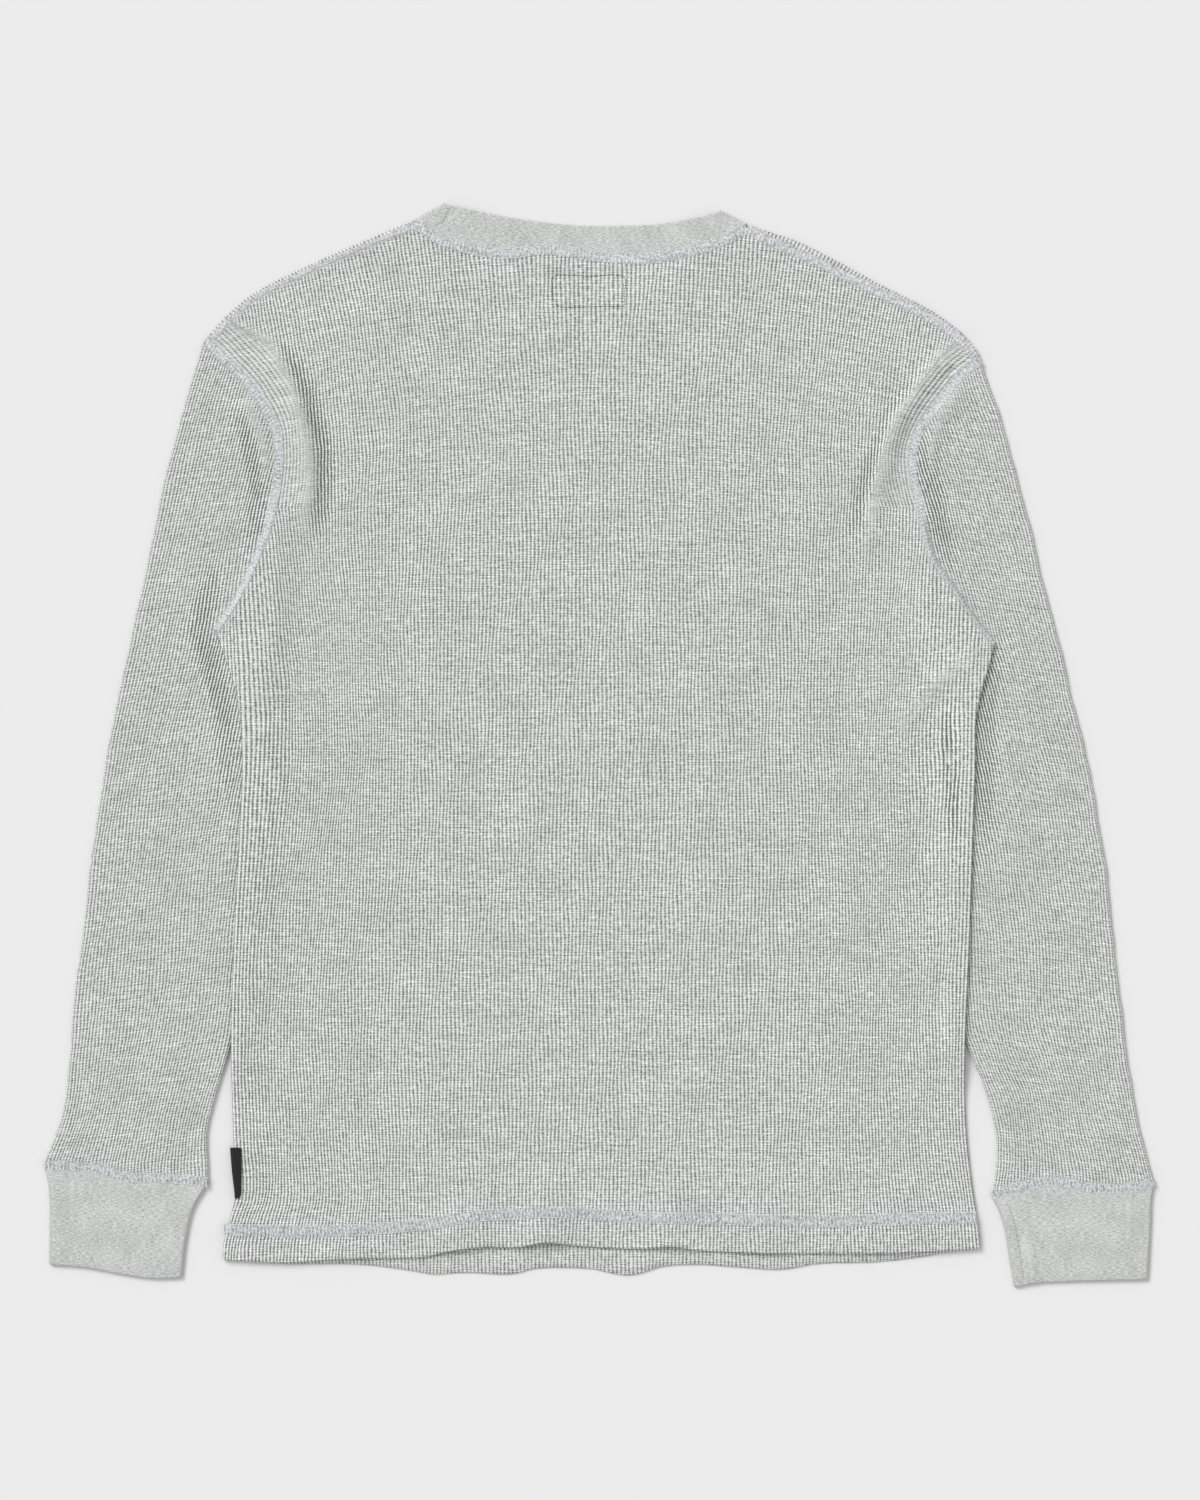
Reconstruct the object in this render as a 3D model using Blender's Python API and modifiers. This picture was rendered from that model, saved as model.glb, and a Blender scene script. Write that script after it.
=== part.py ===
"""Long-sleeved thermal top in waffle knit, laid flat on its front with the back side up.

+X points to the wearer's right, +Y to the neck and +Z up. The floor is z = 0 and the origin
is under the middle of the garment. Every cut piece is a wall of knit: a panel is a sheet
between its four cut edges, a sleeve or cuff is a tube pressed flat, and the neckband is a
closed ring that turns over at its two tips. Tables are in millimetres.
"""
from collections import namedtuple

import bmesh
import bpy
import numpy as np

MM = 0.001
COLLECTION = "thermal_top"

# Cloth
WALL = 1.7                 # waffle knit, and the doubled jersey of cuffs and neckband
HEM_WALL = 2.5             # where the hem is turned up
HEM_DEPTH = 20.0
TAB_WALL = 1.0
LAYER_GAP = 0.5            # air between two layers that lie on each other
SEAM_GAP = 0.3             # between two pieces along a seam
SOFT_EDGE = 0.45           # share of the wall left at a rounded free edge
FOLDED_EDGE = 0.6          # and at the folded edge of a cuff or the neckband

# Levels, worked out from the cloth
LAYER = WALL + LAYER_GAP
FLAT_TUBE = LAYER + WALL
OUTER_BEND = FLAT_TUBE / 2
MIDDLE_BEND = LAYER / 2
OVER_SLEEVE = FLAT_TUBE + SEAM_GAP

# Body
CHEST_WIDTH = 529.0
SIDE_LENGTH = 430.0
ARMHOLE_LENGTH = 224.0
HEM_STEP = 25.0            # length over which the turned-up hem's thickness dies out
TUCK = 32.0                # how far the sleeve's underarm lies under the body's edge
LIFT_MARGIN = 3.0          # how far the full lift reaches past the sleeve's hidden edge
LIFT_SLOPE = 25.0          # width over which the body comes back down to its level
LIFT_FADE = 36.0           # length over which the lift begins and ends along the edge
FRONT_NECK_DEPTH = 105.0
NECKLINE_POWER = 2.4       # a fuller scoop than a parabola
NECKBAND_HEIGHT = 20.0
NECK_SAG = 1.8             # how far the back sinks inside the front neckline
SAG_INSET = 12.0           # how much shallower than the neckline the sunk part is
SAG_START = 0.9            # share of that scoop where the sinking begins
SAG_SLOPE = 0.45           # share over which it reaches its depth
COLLAR = 0.6               # first and last row of a tube, which leave its seam squarely
TUCKED_COLLAR = 0.3        # share of the next section instead, where the sleeve is tucked in

# Share of a panel over which the bow of each cut edge is felt
SIDE_REACH = 0.26
HEM_REACH = 0.4
TOP_REACH = 0.7

Point = namedtuple("Point", "x y")
Shoulder = namedtuple("Shoulder", "x y wrap")
Crest = namedtuple("Crest", "x y height")
Ridge = namedtuple("Ridge", "reach crest")
Wave = namedtuple("Wave", "x height reach")
Section = namedtuple("Section", "outer inner start end")
Side = namedtuple("Side", "turn edge armhole shoulder sleeve_outer sleeve_inner cuff_seam "
                          "cuff_outer cuff_inner cuff_opening ridges leaves columns")

LEFT = Side(
    turn=1,
    # side seam, from the hem to the underarm
    edge=(Point(-255.9, -350.1), Point(-254.9, -338.5), Point(-249.8, -318.8),
          Point(-246.5, -308.6), Point(-248.5, -265.1), Point(-249.8, -199.1),
          Point(-247.6, -131.8), Point(-243.7, -52.9), Point(-242.3, -14.1),
          Point(-245.1, 30.1), Point(-255.6, 64.1), Point(-260.4, 76.3)),
    # from the underarm to the shoulder point
    armhole=(Point(-260.4, 76.3), Point(-246.8, 99.4), Point(-237.3, 119.1),
             Point(-228.8, 139.5), Point(-221.6, 161.3), Point(-218.0, 184.8),
             Point(-217.4, 200.1), Point(-220.2, 214.3), Point(-227.0, 228.6),
             Point(-235.8, 242.2), Point(-246.1, 254.1), Point(-268.4, 275.2)),
    # from the shoulder point to the neck, with the strip of the front that turns over it
    shoulder=(Shoulder(-268.4, 275.2, 3.0), Shoulder(-254.9, 289.8, 3.0),
              Shoulder(-242.0, 301.7, 3.0), Shoulder(-229.1, 310.3, 3.0),
              Shoulder(-201.9, 323.8, 3.0), Shoulder(-173.0, 336.7, 3.0),
              Shoulder(-127.4, 355.8, 3.0)),
    sleeve_outer=(Point(-277.4, 247.7), Point(-292.3, 193.3), Point(-305.3, 138.9),
                  Point(-318.2, 70.9), Point(-333.1, 2.9), Point(-346.1, -78.7),
                  Point(-354.2, -146.7), Point(-360.3, -214.7), Point(-362.8, -240.0),
                  Point(-366.8, -258.0), Point(-377.8, -285.6)),
    sleeve_inner=(Point(-234.6, 40.0), Point(-234.4, 0.0), Point(-235.5, -53.0),
                  Point(-240.6, -132.0), Point(-247.6, -190.0), Point(-254.4, -217.5),
                  Point(-261.0, -241.9), Point(-264.5, -258.3), Point(-265.1, -280.0),
                  Point(-264.7, -297.8)),
    cuff_seam=(Point(-377.8, -285.6), Point(-361.0, -286.8), Point(-339.3, -288.6),
               Point(-324.3, -293.5), Point(-290.6, -295.3), Point(-264.7, -297.8)),
    cuff_outer=(Point(-377.8, -285.6), Point(-374.6, -297.4), Point(-373.4, -329.0),
                Point(-373.9, -353.5)),
    cuff_inner=(Point(-264.7, -297.8), Point(-270.2, -305.9), Point(-275.5, -315.4),
                Point(-280.1, -334.1), Point(-283.4, -362.3)),
    cuff_opening=(Point(-373.9, -353.5), Point(-350.1, -355.2), Point(-326.3, -359.6),
                  Point(-304.0, -362.8), Point(-283.4, -362.3)),
    # soft folds that run beside the armhole, on the body and on the sleeve
    ridges=(Ridge(14.0, (Crest(-246.1, 284.0, 0.5), Crest(-222.3, 270.8, 3.5),
                         Crest(-209.0, 243.6, 5.5), Crest(-201.6, 221.8, 6.0),
                         Crest(-196.4, 198.0, 6.0), Crest(-195.4, 176.3, 4.5),
                         Crest(-198.5, 157.2, 2.5), Crest(-203.3, 132.1, 0.0))),
            Ridge(9.0, (Crest(-246.0, 243.0, 0.0), Crest(-237.5, 229.0, 2.8),
                        Crest(-229.5, 208.0, 3.4), Crest(-226.9, 194.6, 2.4),
                        Crest(-229.0, 172.0, 0.0)))),
    leaves=-212.0,
    columns=(0, 1.6, 6, 11, 16, 21, 27, 36, 50, 80, 110, 141.8),
)

RIGHT = Side(
    turn=-1,
    edge=(Point(259.1, -342.6), Point(257.8, -328.3), Point(252.8, -294.3),
          Point(249.4, -258.9), Point(248.7, -205.9), Point(251.7, -133.8),
          Point(254.4, -52.9), Point(255.7, -17.5), Point(256.4, 18.2),
          Point(259.8, 35.5), Point(264.6, 51.8), Point(268.7, 67.5)),
    armhole=(Point(268.7, 67.5), Point(250.3, 91.9), Point(238.1, 110.3),
             Point(228.5, 123.5), Point(223.2, 138.5), Point(218.0, 161.3),
             Point(213.4, 181.0), Point(213.2, 199.0), Point(217.6, 214.7),
             Point(225.4, 228.4), Point(234.0, 239.5), Point(243.0, 249.3),
             Point(259.6, 261.6)),
    shoulder=(Shoulder(259.6, 261.6, 2.5), Shoulder(255.7, 269.4, 2.5),
              Shoulder(248.3, 278.3, 2.5), Shoulder(236.7, 287.8, 2.5),
              Shoulder(223.4, 296.6, 3.0), Shoulder(189.8, 313.6, 3.6),
              Shoulder(168.7, 325.2, 4.8), Shoulder(134.7, 342.2, 5.8),
              Shoulder(117.7, 348.0, 4.2), Shoulder(101.4, 353.7, 3.0)),
    sleeve_outer=(Point(269.3, 234.1), Point(285.7, 179.7), Point(299.3, 125.3),
                  Point(312.9, 70.9), Point(325.8, 16.5), Point(337.3, -37.9),
                  Point(346.9, -105.9), Point(354.4, -173.9), Point(360.5, -214.7),
                  Point(367.0, -256.0), Point(377.8, -296.0)),
    sleeve_inner=(Point(248.0, 35.0), Point(250.0, 0.0), Point(248.5, -53.0),
                  Point(244.0, -132.0), Point(245.4, -190.0), Point(252.6, -213.0),
                  Point(262.5, -236.5), Point(266.6, -254.9), Point(268.9, -282.0),
                  Point(266.4, -306.5)),
    cuff_seam=(Point(377.8, -296.0), Point(369.3, -300.2), Point(350.3, -301.8),
               Point(331.2, -301.1), Point(312.2, -297.0), Point(302.7, -297.7),
               Point(283.6, -301.1), Point(266.4, -306.5)),
    cuff_outer=(Point(377.8, -296.0), Point(375.8, -307.9), Point(375.0, -329.0),
                Point(373.1, -363.7)),
    cuff_inner=(Point(266.4, -306.5), Point(271.4, -316.7), Point(275.0, -328.0),
                Point(278.9, -350.7), Point(281.9, -368.9)),
    cuff_opening=(Point(373.1, -363.7), Point(340.7, -364.3), Point(312.2, -365.0),
                  Point(296.0, -366.0), Point(281.9, -368.9)),
    ridges=(Ridge(14.0, (Crest(240.0, 272.0, 0.0), Crest(232.0, 262.0, 2.0),
                         Crest(217.0, 243.0, 4.5), Crest(202.5, 221.0, 6.0),
                         Crest(194.5, 201.0, 6.0), Crest(190.5, 183.0, 5.0),
                         Crest(186.0, 162.0, 3.0), Crest(180.9, 125.3, 0.0))),
            Ridge(8.5, (Crest(250.0, 247.0, 0.0), Crest(242.0, 236.5, 2.6),
                        Crest(232.0, 220.5, 3.2), Crest(225.5, 200.0, 2.2),
                        Crest(226.0, 176.0, 0.0)))),
    leaves=-214.0,
    columns=(0, 1.6, 6, 11, 16, 21, 27, 36, 50, 85, 120, 158.4),
)

BACK_HEM = (Point(-255.9, -350.1), Point(-212.8, -352.1), Point(-167.2, -349.4),
            Point(-121.7, -348.7), Point(-101.9, -344.6), Point(-82.9, -341.9),
            Point(-55.7, -341.9), Point(-36.7, -338.5), Point(-10.1, -341.2),
            Point(28.6, -342.9), Point(49.7, -341.2), Point(68.1, -343.9),
            Point(134.7, -346.0), Point(212.2, -345.3), Point(259.1, -342.6))
FRONT_HEM = (Point(-255.9, -350.1), Point(-212.8, -353.2), Point(-167.2, -353.2),
             Point(-134.6, -356.9), Point(-114.2, -360.0), Point(-89.0, -358.9),
             Point(-59.8, -359.9), Point(-42.8, -356.2), Point(-6.1, -356.2),
             Point(19.8, -360.7), Point(42.9, -354.8), Point(68.1, -353.5),
             Point(121.1, -356.9), Point(147.6, -353.1), Point(193.2, -351.4),
             Point(225.2, -347.3), Point(259.1, -342.6))
# Seam of the back neck between its two corners, and the neckband's free edge
BACK_NECK = (Point(-119.6, 350.2), Point(-111.0, 344.2), Point(-98.0, 339.5),
             Point(-79.5, 334.7), Point(-62.5, 333.3), Point(-36.0, 336.2),
             Point(-1.3, 331.6), Point(33.4, 329.9), Point(59.2, 334.2),
             Point(79.0, 340.3), Point(95.0, 347.6))
LEFT_TIP = Point(-104.5, 368.2)
RIGHT_TIP = Point(82.3, 363.3)
FREE_EDGE = (Point(-91.1, 364.2), Point(-67.3, 359.2), Point(-16.9, 352.8),
             Point(7.5, 352.4), Point(38.1, 353.3), Point(65.3, 357.6))

# Waves of the back's hem, which stand up from the front and die out above it
HEM_WAVES = (Wave(-165, 1.4, 30), Wave(-92, 2.6, 26), Wave(-37, 4.2, 27),
             Wave(50, 3.0, 27), Wave(112, 1.8, 28), Wave(190, 1.2, 30))
WAVE_FADE = 65.0

# Woven tab in the left side seam, drawn from the seam towards the back
TAB_REACH = 1.5            # how far it stands out before it bends over
TAB_BEND = 0.4             # roundness of that bend
TAB_TOP = -273.9
TAB_LENGTH = 34.7
TAB_WIDTHS = ((0.0, 5.6), (0.35, 4.6), (0.75, 3.6), (0.93, 3.0), (1.0, 1.6))

# Rows of the grids
SIDE_ROWS = (0, 1.6, 10, 20, 24, 45, 75, 105, 125, 145, 185, 225, 265, 305, 340, 370, 395, 415)
FRONT_SKIPS = (10, 45, 185, 265, 340)
ARMHOLE_STEPS = 12
LAP_STEPS = 4              # steps of the lower armhole where the body laps over the sleeve
NECK_SHARES = (0, 0.04, 0.09, 0.17, 0.26, 0.38, 0.5, 0.62, 0.74, 0.83, 0.91, 0.96, 1)
# Sections of a tube: shares along its outer and inner folds, and how much of the bow of its
# first and last seam each section keeps. The upper sections fan out from the underarm.
SLEEVE_SECTIONS = (
    Section(0, 0, 1, 0),
    Section(0.03, 0.012, 0.88, 0),
    Section(0.07, 0.021, 0.74, 0),
    Section(0.12, 0.031, 0.58, 0),
    Section(0.18, 0.043, 0.41, 0),
    Section(0.25, 0.060, 0.24, 0),
    Section(0.32, 0.088, 0.10, 0),
    Section(0.40, 0.14, 0, 0),
    Section(0.52, 0.28, 0, 0),
    Section(0.64, 0.45, 0, 0),
    Section(0.76, 0.62, 0, 0),
    Section(0.87, 0.79, 0, 0.1),
    Section(0.95, 0.92, 0, 0.6),
    Section(1, 1, 0, 1),
)
CUFF_SECTIONS = (
    Section(0, 0, 1, 0),
    Section(0.5, 0.5, 0.5, 0.5),
    Section(0.97, 0.97, 0, 1),
    Section(1, 1, 0, 1),
)
BAND_SHARES = (0, 0.1, 0.5, 0.9, 1)
BEND_ANGLES = np.radians((45, 90, 135))

WAFFLE = ("heather_waffle_knit", (0.56, 0.57, 0.56), 0.95)
JERSEY = ("heather_jersey", (0.57, 0.58, 0.57), 0.92)
TAB_CLOTH = ("black_woven_tape", (0.017, 0.018, 0.019), 0.7)


# Paths ------------------------------------------------------------------------------------

def mix(a, b, share):
    return a * (1 - share) + b * share


def smooth_path(points, samples=12):
    """A dense path through the points, by centripetal Catmull-Rom."""
    ring = np.array([tuple(p)[:2] for p in points], float)
    ring = np.vstack((2 * ring[0] - ring[1], ring, 2 * ring[-1] - ring[-2]))
    spans = [span(ring[i:i + 4], samples) for i in range(len(ring) - 3)]
    return np.vstack(spans + [ring[-2]])


def span(corners, samples):
    """Points from the second to the third of four corners, by Barry and Goldman's pyramid."""
    a, b, c, d = corners
    tb = np.linalg.norm(b - a) ** 0.5
    tc = tb + np.linalg.norm(c - b) ** 0.5
    td = tc + np.linalg.norm(d - c) ** 0.5
    t = np.linspace(tb, tc, samples, endpoint=False)[:, None]
    ab = mix(a, b, t / tb)
    bc = mix(b, c, (t - tb) / (tc - tb))
    cd = mix(c, d, (t - tc) / (td - tc))
    abc = mix(ab, bc, t / tc)
    bcd = mix(bc, cd, (t - tb) / (td - tb))
    return mix(abc, bcd, (t - tb) / (tc - tb))


def travelled(path):
    steps = np.linalg.norm(np.diff(path, axis=0), axis=1)
    return np.concatenate(([0.0], np.cumsum(steps)))


def at_shares(path, shares):
    """Points at shares of the path's length."""
    run = travelled(path)
    wanted = np.asarray(shares, float) * run[-1]
    return np.stack([np.interp(wanted, run, path[:, k]) for k in range(path.shape[1])], axis=-1)


def normals(path, turn):
    """Unit normals of a path, to its right for turn 1 and to its left for turn -1."""
    along = np.gradient(path, axis=0)
    along /= np.linalg.norm(along, axis=1, keepdims=True)
    return turn * np.stack((along[:, 1], -along[:, 0]), axis=-1)


def smooth_step(x):
    x = np.clip(x, 0.0, 1.0)
    return x * x * (3 - 2 * x)


def bowed(points, shares):
    """How far points stray from the straight line between their ends."""
    return points - mix(points[0], points[-1], np.asarray(shares, float)[:, None])


def patch(left, right, bottom, top, u, v):
    """A grid of plan points between four edges, rows by v and columns by u.

    Each edge's bow is felt for its own reach and fades out softly inside the panel.
    """
    across = u[None, :, None]
    up = v[:, None, None]
    plan = mix(mix(bottom[0], bottom[-1], across), mix(top[0], top[-1], across), up)
    plan += bowed(left, v)[:, None] * (1 - smooth_step(across / SIDE_REACH))
    plan += bowed(right, v)[:, None] * (1 - smooth_step((1 - across) / SIDE_REACH))
    plan += bowed(bottom, u)[None] * (1 - smooth_step(up / HEM_REACH))
    plan += bowed(top, u)[None] * (1 - smooth_step((1 - up) / TOP_REACH))
    return plan


# Folds ------------------------------------------------------------------------------------

def ridge_height(plan, ridge):
    """Height of one soft ridge over plan points: round across, uneven along its crest."""
    crest = np.array([tuple(row) for row in ridge.crest], float)
    line = at_shares(crest, np.linspace(0, 1, 60))
    apart = np.linalg.norm(plan[..., None, :] - line[:, :2], axis=-1)
    nearest = apart.argmin(axis=-1)
    across = np.clip(apart.min(axis=-1) / ridge.reach, 0, 1)
    return line[nearest, 2] * (0.5 + 0.5 * np.cos(np.pi * across))


def hem_wave_height(plan, above_hem):
    height = np.zeros(plan.shape[:-1])
    for wave in HEM_WAVES:
        across = np.clip(np.abs(plan[..., 0] - wave.x) / wave.reach, 0, 1)
        height += wave.height * (0.5 + 0.5 * np.cos(np.pi * across))
    return height * (1 - smooth_step(above_hem / WAVE_FADE))


def neck_sag(plan):
    """How far the back sinks where no front lies under it, inside the front neckline."""
    middle = (LEFT_TIP.x + RIGHT_TIP.x) / 2
    half_width = (RIGHT_TIP.x - LEFT_TIP.x) / 2
    top = (LEFT_TIP.y + RIGHT_TIP.y) / 2
    depth = FRONT_NECK_DEPTH - SAG_INSET
    radius = np.hypot((plan[..., 0] - middle) / half_width, (plan[..., 1] - top) / depth)
    return NECK_SAG * smooth_step((SAG_START - radius) / SAG_SLOPE)


# Body -------------------------------------------------------------------------------------

def shoulder_line(side, inset):
    """Shoulder from its point to the neck, moved inwards by inset or by the wrap's width."""
    table = np.array([tuple(row) for row in side.shoulder], float)
    outline = smooth_path(table[:, :2])
    wraps = np.interp(travelled(outline), travelled(table[:, :2]), table[:, 2])
    depth = wraps + SEAM_GAP if inset is None else np.full(len(wraps), inset)
    return outline + normals(outline, side.turn) * depth[:, None], outline, wraps


def side_shares():
    return np.array(SIDE_ROWS + (SIDE_LENGTH,), float) / SIDE_LENGTH


def armhole_points(side, corner):
    """Armhole at even steps from the underarm, ending at a panel's shoulder corner."""
    points = at_shares(smooth_path(side.armhole), np.linspace(0, 1, ARMHOLE_STEPS + 1))
    points[-1] = corner
    return points


def body_edge(side, corner):
    return np.vstack((at_shares(smooth_path(side.edge), side_shares()),
                      armhole_points(side, corner)[1:]))


def column_shares():
    """Columns of both body panels: close at the sides, even across the neck."""
    left = np.array(LEFT.columns) / CHEST_WIDTH
    right = 1 - np.array(RIGHT.columns)[::-1] / CHEST_WIDTH
    neck = left[-1] + np.array(NECK_SHARES) * (right[0] - left[-1])
    return np.concatenate((left, neck[1:-1], right))


def body_lift(plan):
    """How far both body panels rise where they lie on the tucked edges of the sleeves."""
    height = 0
    for side in (LEFT, RIGHT):
        start = armhole_start(side)[::-1]
        hidden = np.vstack((smooth_path((start[0],) + side.sleeve_inner)[::-1], start[1:]))
        edge = np.interp(plan[..., 1], hidden[:, 1], hidden[:, 0])
        past = side.turn * (plan[..., 0] - edge) - LIFT_MARGIN
        lap_end = start[LAP_STEPS, 1]
        begins = smooth_step((plan[..., 1] - side.leaves + LIFT_FADE) / LIFT_FADE)
        ends = 1 - smooth_step((plan[..., 1] - lap_end) / LIFT_FADE)
        height = height + begins * ends * (1 - smooth_step(past / LIFT_SLOPE))
    return OVER_SLEEVE * height


def rows_above_hem():
    """Length from the hem to each row, along the side seam and then the armhole."""
    armhole = np.linspace(0, ARMHOLE_LENGTH, ARMHOLE_STEPS + 1)[1:]
    return np.concatenate((SIDE_ROWS, (SIDE_LENGTH,), SIDE_LENGTH + armhole))


def body_plan(hem, neck, inset):
    """Plan grid of a body panel, whose shoulders are moved in by inset or by the wrap."""
    u = column_shares()
    rows = rows_above_hem()
    shoulders = []
    for side in (LEFT, RIGHT):
        line = shoulder_line(side, inset)[0]
        shoulders.append(at_shares(line, np.array(side.columns) / side.columns[-1]))
    left, right = shoulders
    top = np.vstack((left, neck(left[-1], right[-1])[1:-1], right[::-1]))
    bottom = at_shares(smooth_path(hem), u)
    return patch(body_edge(LEFT, left[0]), body_edge(RIGHT, right[0]), bottom, top,
                 u, rows / rows[-1])


def back_neck(start, end):
    path = smooth_path((start,) + BACK_NECK + (end,))
    return at_shares(path, NECK_SHARES)


def front_neck(start, end):
    """Deep round front neckline between two corners."""
    return bowl(start, end, FRONT_NECK_DEPTH)


def bowl(start, end, depth):
    """A round scoop between two points, full at its middle."""
    share = np.array(NECK_SHARES)[:, None]
    scoop = depth * (1 - np.abs(2 * share - 1) ** NECKLINE_POWER)
    return mix(start, end, share) - scoop * np.array((0.0, 1.0))


def wall_shares(above_hem, columns, soft_sides):
    """Share of the hem's thickness at each point, thinned to a soft edge."""
    shares = np.where(above_hem <= HEM_DEPTH, 1.0, WALL / HEM_WALL)
    shares = np.repeat(shares[:, None], columns, axis=1)
    shares[0] = SOFT_EDGE
    if soft_sides:
        rows = len(SIDE_ROWS)
        shares[:rows, 0] = SOFT_EDGE
        shares[:rows, -1] = SOFT_EDGE
    return shares


def make_back_panel():
    plan = body_plan(BACK_HEM, back_neck, None)
    rows = rows_above_hem()
    above_hem = rows[:, None]
    height = LAYER + body_lift(plan) + hem_wave_height(plan, above_hem) - neck_sag(plan)
    height += (HEM_WALL - WALL) * (1 - smooth_step((above_hem - HEM_DEPTH) / HEM_STEP))
    for side in (LEFT, RIGHT):
        height += ridge_height(plan, side.ridges[0])
    grid = np.concatenate((plan, height[..., None]), axis=-1)
    sheet = sheet_from_grid("back_panel", grid, wall_shares(rows, plan.shape[1], True))
    thicken(sheet, HEM_WALL, 1)
    return sheet, WAFFLE


def make_front_panel():
    """Lies flat on the floor; its shoulders turn over to meet the back's shoulder seams."""
    plan = body_plan(FRONT_HEM, front_neck, OUTER_BEND)
    rows = rows_above_hem()
    grid = np.concatenate((plan, body_lift(plan)[..., None]), axis=-1)
    columns = plan.shape[1]
    shares = wall_shares(rows, columns, False)
    kept = [row for row, rise in enumerate(rows) if rise not in FRONT_SKIPS]
    sheet = sheet_from_grid("front_panel", grid[kept], shares[kept])
    top_row = np.arange(columns) + (len(kept) - 1) * columns
    add_shoulder_turn(sheet, LEFT, top_row[:len(LEFT.columns)])
    add_shoulder_turn(sheet, RIGHT, top_row[::-1][:len(RIGHT.columns)])
    thicken(sheet, HEM_WALL, 1)
    return sheet, WAFFLE


def add_shoulder_turn(sheet, side, edge):
    """Carry the shoulder edge round a half bend and back over the top."""
    outline, wraps = shoulder_line(side, 0.0)[1:]
    shares = np.array(side.columns) / side.columns[-1]
    points = at_shares(outline, shares)
    inward = at_shares(normals(outline, side.turn), shares)
    inward /= np.linalg.norm(inward, axis=1, keepdims=True)
    width = np.interp(shares, travelled(outline) / travelled(outline)[-1], wraps)
    rows = []
    for angle in tuple(BEND_ANGLES) + (np.pi,):
        plan = points + inward * (OUTER_BEND * (1 - np.sin(angle)))
        rows.append((plan, OUTER_BEND * (1 - np.cos(angle))))
    rows.append((points + inward * width[:, None], FLAT_TUBE))

    bm = bmesh.new()
    bm.from_mesh(sheet.data)
    bm.verts.ensure_lookup_table()
    layer = bm.verts.layers.deform.verify()
    previous = [bm.verts[number] for number in edge]
    for plan, height in rows:
        ring = []
        for x, y in plan:
            vertex = bm.verts.new((x * MM, y * MM, height * MM))
            vertex[layer][0] = WALL / HEM_WALL
            ring.append(vertex)
        join_rows(bm, previous, ring, side.turn)
        previous = ring
    bm.to_mesh(sheet.data)
    bm.free()


# Tubes ------------------------------------------------------------------------------------

def flat_tube(outer, inner, start, end, sections, raise_top, tucked_steps):
    """Mid-surface of a tube pressed flat, as rings from its start to its end.

    outer and inner are its two folded edges; start and end run from outer to inner. The last
    tucked_steps of the start lie under the body, where no seam faces them.
    """
    steps = np.linspace(0, 1, ARMHOLE_STEPS + 1)
    edge_outer = at_shares(outer, [section.outer for section in sections])
    edge_inner = at_shares(inner, [section.inner for section in sections])
    rings = []
    for section, left, right in zip(sections, edge_outer, edge_inner):
        width = np.linalg.norm(right - left)
        flat = np.clip(steps, OUTER_BEND / width, 1 - OUTER_BEND / width)
        bend = (OUTER_BEND - MIDDLE_BEND * np.sin(BEND_ANGLES)) / width
        turn = MIDDLE_BEND * np.cos(BEND_ANGLES)
        level = np.full(len(flat), MIDDLE_BEND)
        t = np.concatenate((flat, 1 - bend, flat[::-1], bend))
        height = OUTER_BEND + np.concatenate((level, turn, -level, -turn))
        plan = mix(left, right, t[:, None])
        plan += section.start * curve_at(bowed(start, steps), t)
        plan += section.end * curve_at(bowed(end, steps), t)
        if tucked_steps and section.start:
            fold = slice(len(flat) - 1, len(flat) + len(bend) + 1)
            depth = np.concatenate(((OUTER_BEND,), bend * width, (OUTER_BEND,)))
            plan[fold] = right + depth[:, None] * into_sleeve(inner, right, left, section.start)
        height[:len(flat)] += raise_top(plan[:len(flat)])
        rings.append(np.concatenate((plan, height[:, None]), axis=-1))
    first = collar(rings[0], rings[1])
    tucked = slice(len(steps) - tucked_steps, len(steps) + len(BEND_ANGLES) + tucked_steps)
    first[tucked] = mix(rings[0], rings[1], TUCKED_COLLAR)[tucked]
    rings.insert(1, first)
    rings.insert(-1, collar(rings[-1], rings[-2]))
    return np.array(rings)


def into_sleeve(inner, fold, opposite, share):
    """Direction in which the inner fold bends: across the tube, or square to its path."""
    nearest = np.argmin(np.linalg.norm(inner - fold, axis=1))
    along = np.gradient(inner, axis=0)[nearest]
    square = np.array((along[1], -along[0])) / np.linalg.norm(along)
    across = (opposite - fold) / np.linalg.norm(opposite - fold)
    aim = mix(across, square * np.sign(np.dot(square, across)), share)
    return aim / np.linalg.norm(aim)


def collar(ring, towards):
    """A ring close to a seam's ring, square to it in plan."""
    count = ARMHOLE_STEPS + 1
    moved = ring.copy()
    bends = len(BEND_ANGLES)
    for first, share in ((0, 1), (count + bends, -1)):
        wall = slice(first, first + count)
        along = np.gradient(ring[wall, :2], axis=0) * share
        square = np.stack((along[:, 1], -along[:, 0]), axis=-1)
        square *= np.sign(np.sum(square * (towards - ring)[wall, :2]))
        square /= np.linalg.norm(square, axis=1, keepdims=True)
        moved[wall, :2] += COLLAR * square
        after = slice(first + count, first + count + bends)
        moved[after, :2] += COLLAR * square[-1]
    return moved


def curve_at(points, t):
    steps = np.linspace(0, 1, len(points))
    return np.stack([np.interp(t, steps, points[:, k]) for k in (0, 1)], axis=-1)


def armhole_start(side):
    """Start of the sleeve, from the shoulder point to its corner under the body."""
    path = smooth_path(side.armhole)
    shares = np.linspace(0, 1, ARMHOLE_STEPS + 1)
    outward = -at_shares(normals(path, side.turn), shares)
    points = at_shares(path, shares) + SEAM_GAP * outward
    corner = points[0] + (side.turn * TUCK, 0)
    lap = shares[:LAP_STEPS, None] / shares[LAP_STEPS]
    points[:LAP_STEPS] = mix(corner, points[LAP_STEPS], lap)
    return points[::-1]


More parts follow.
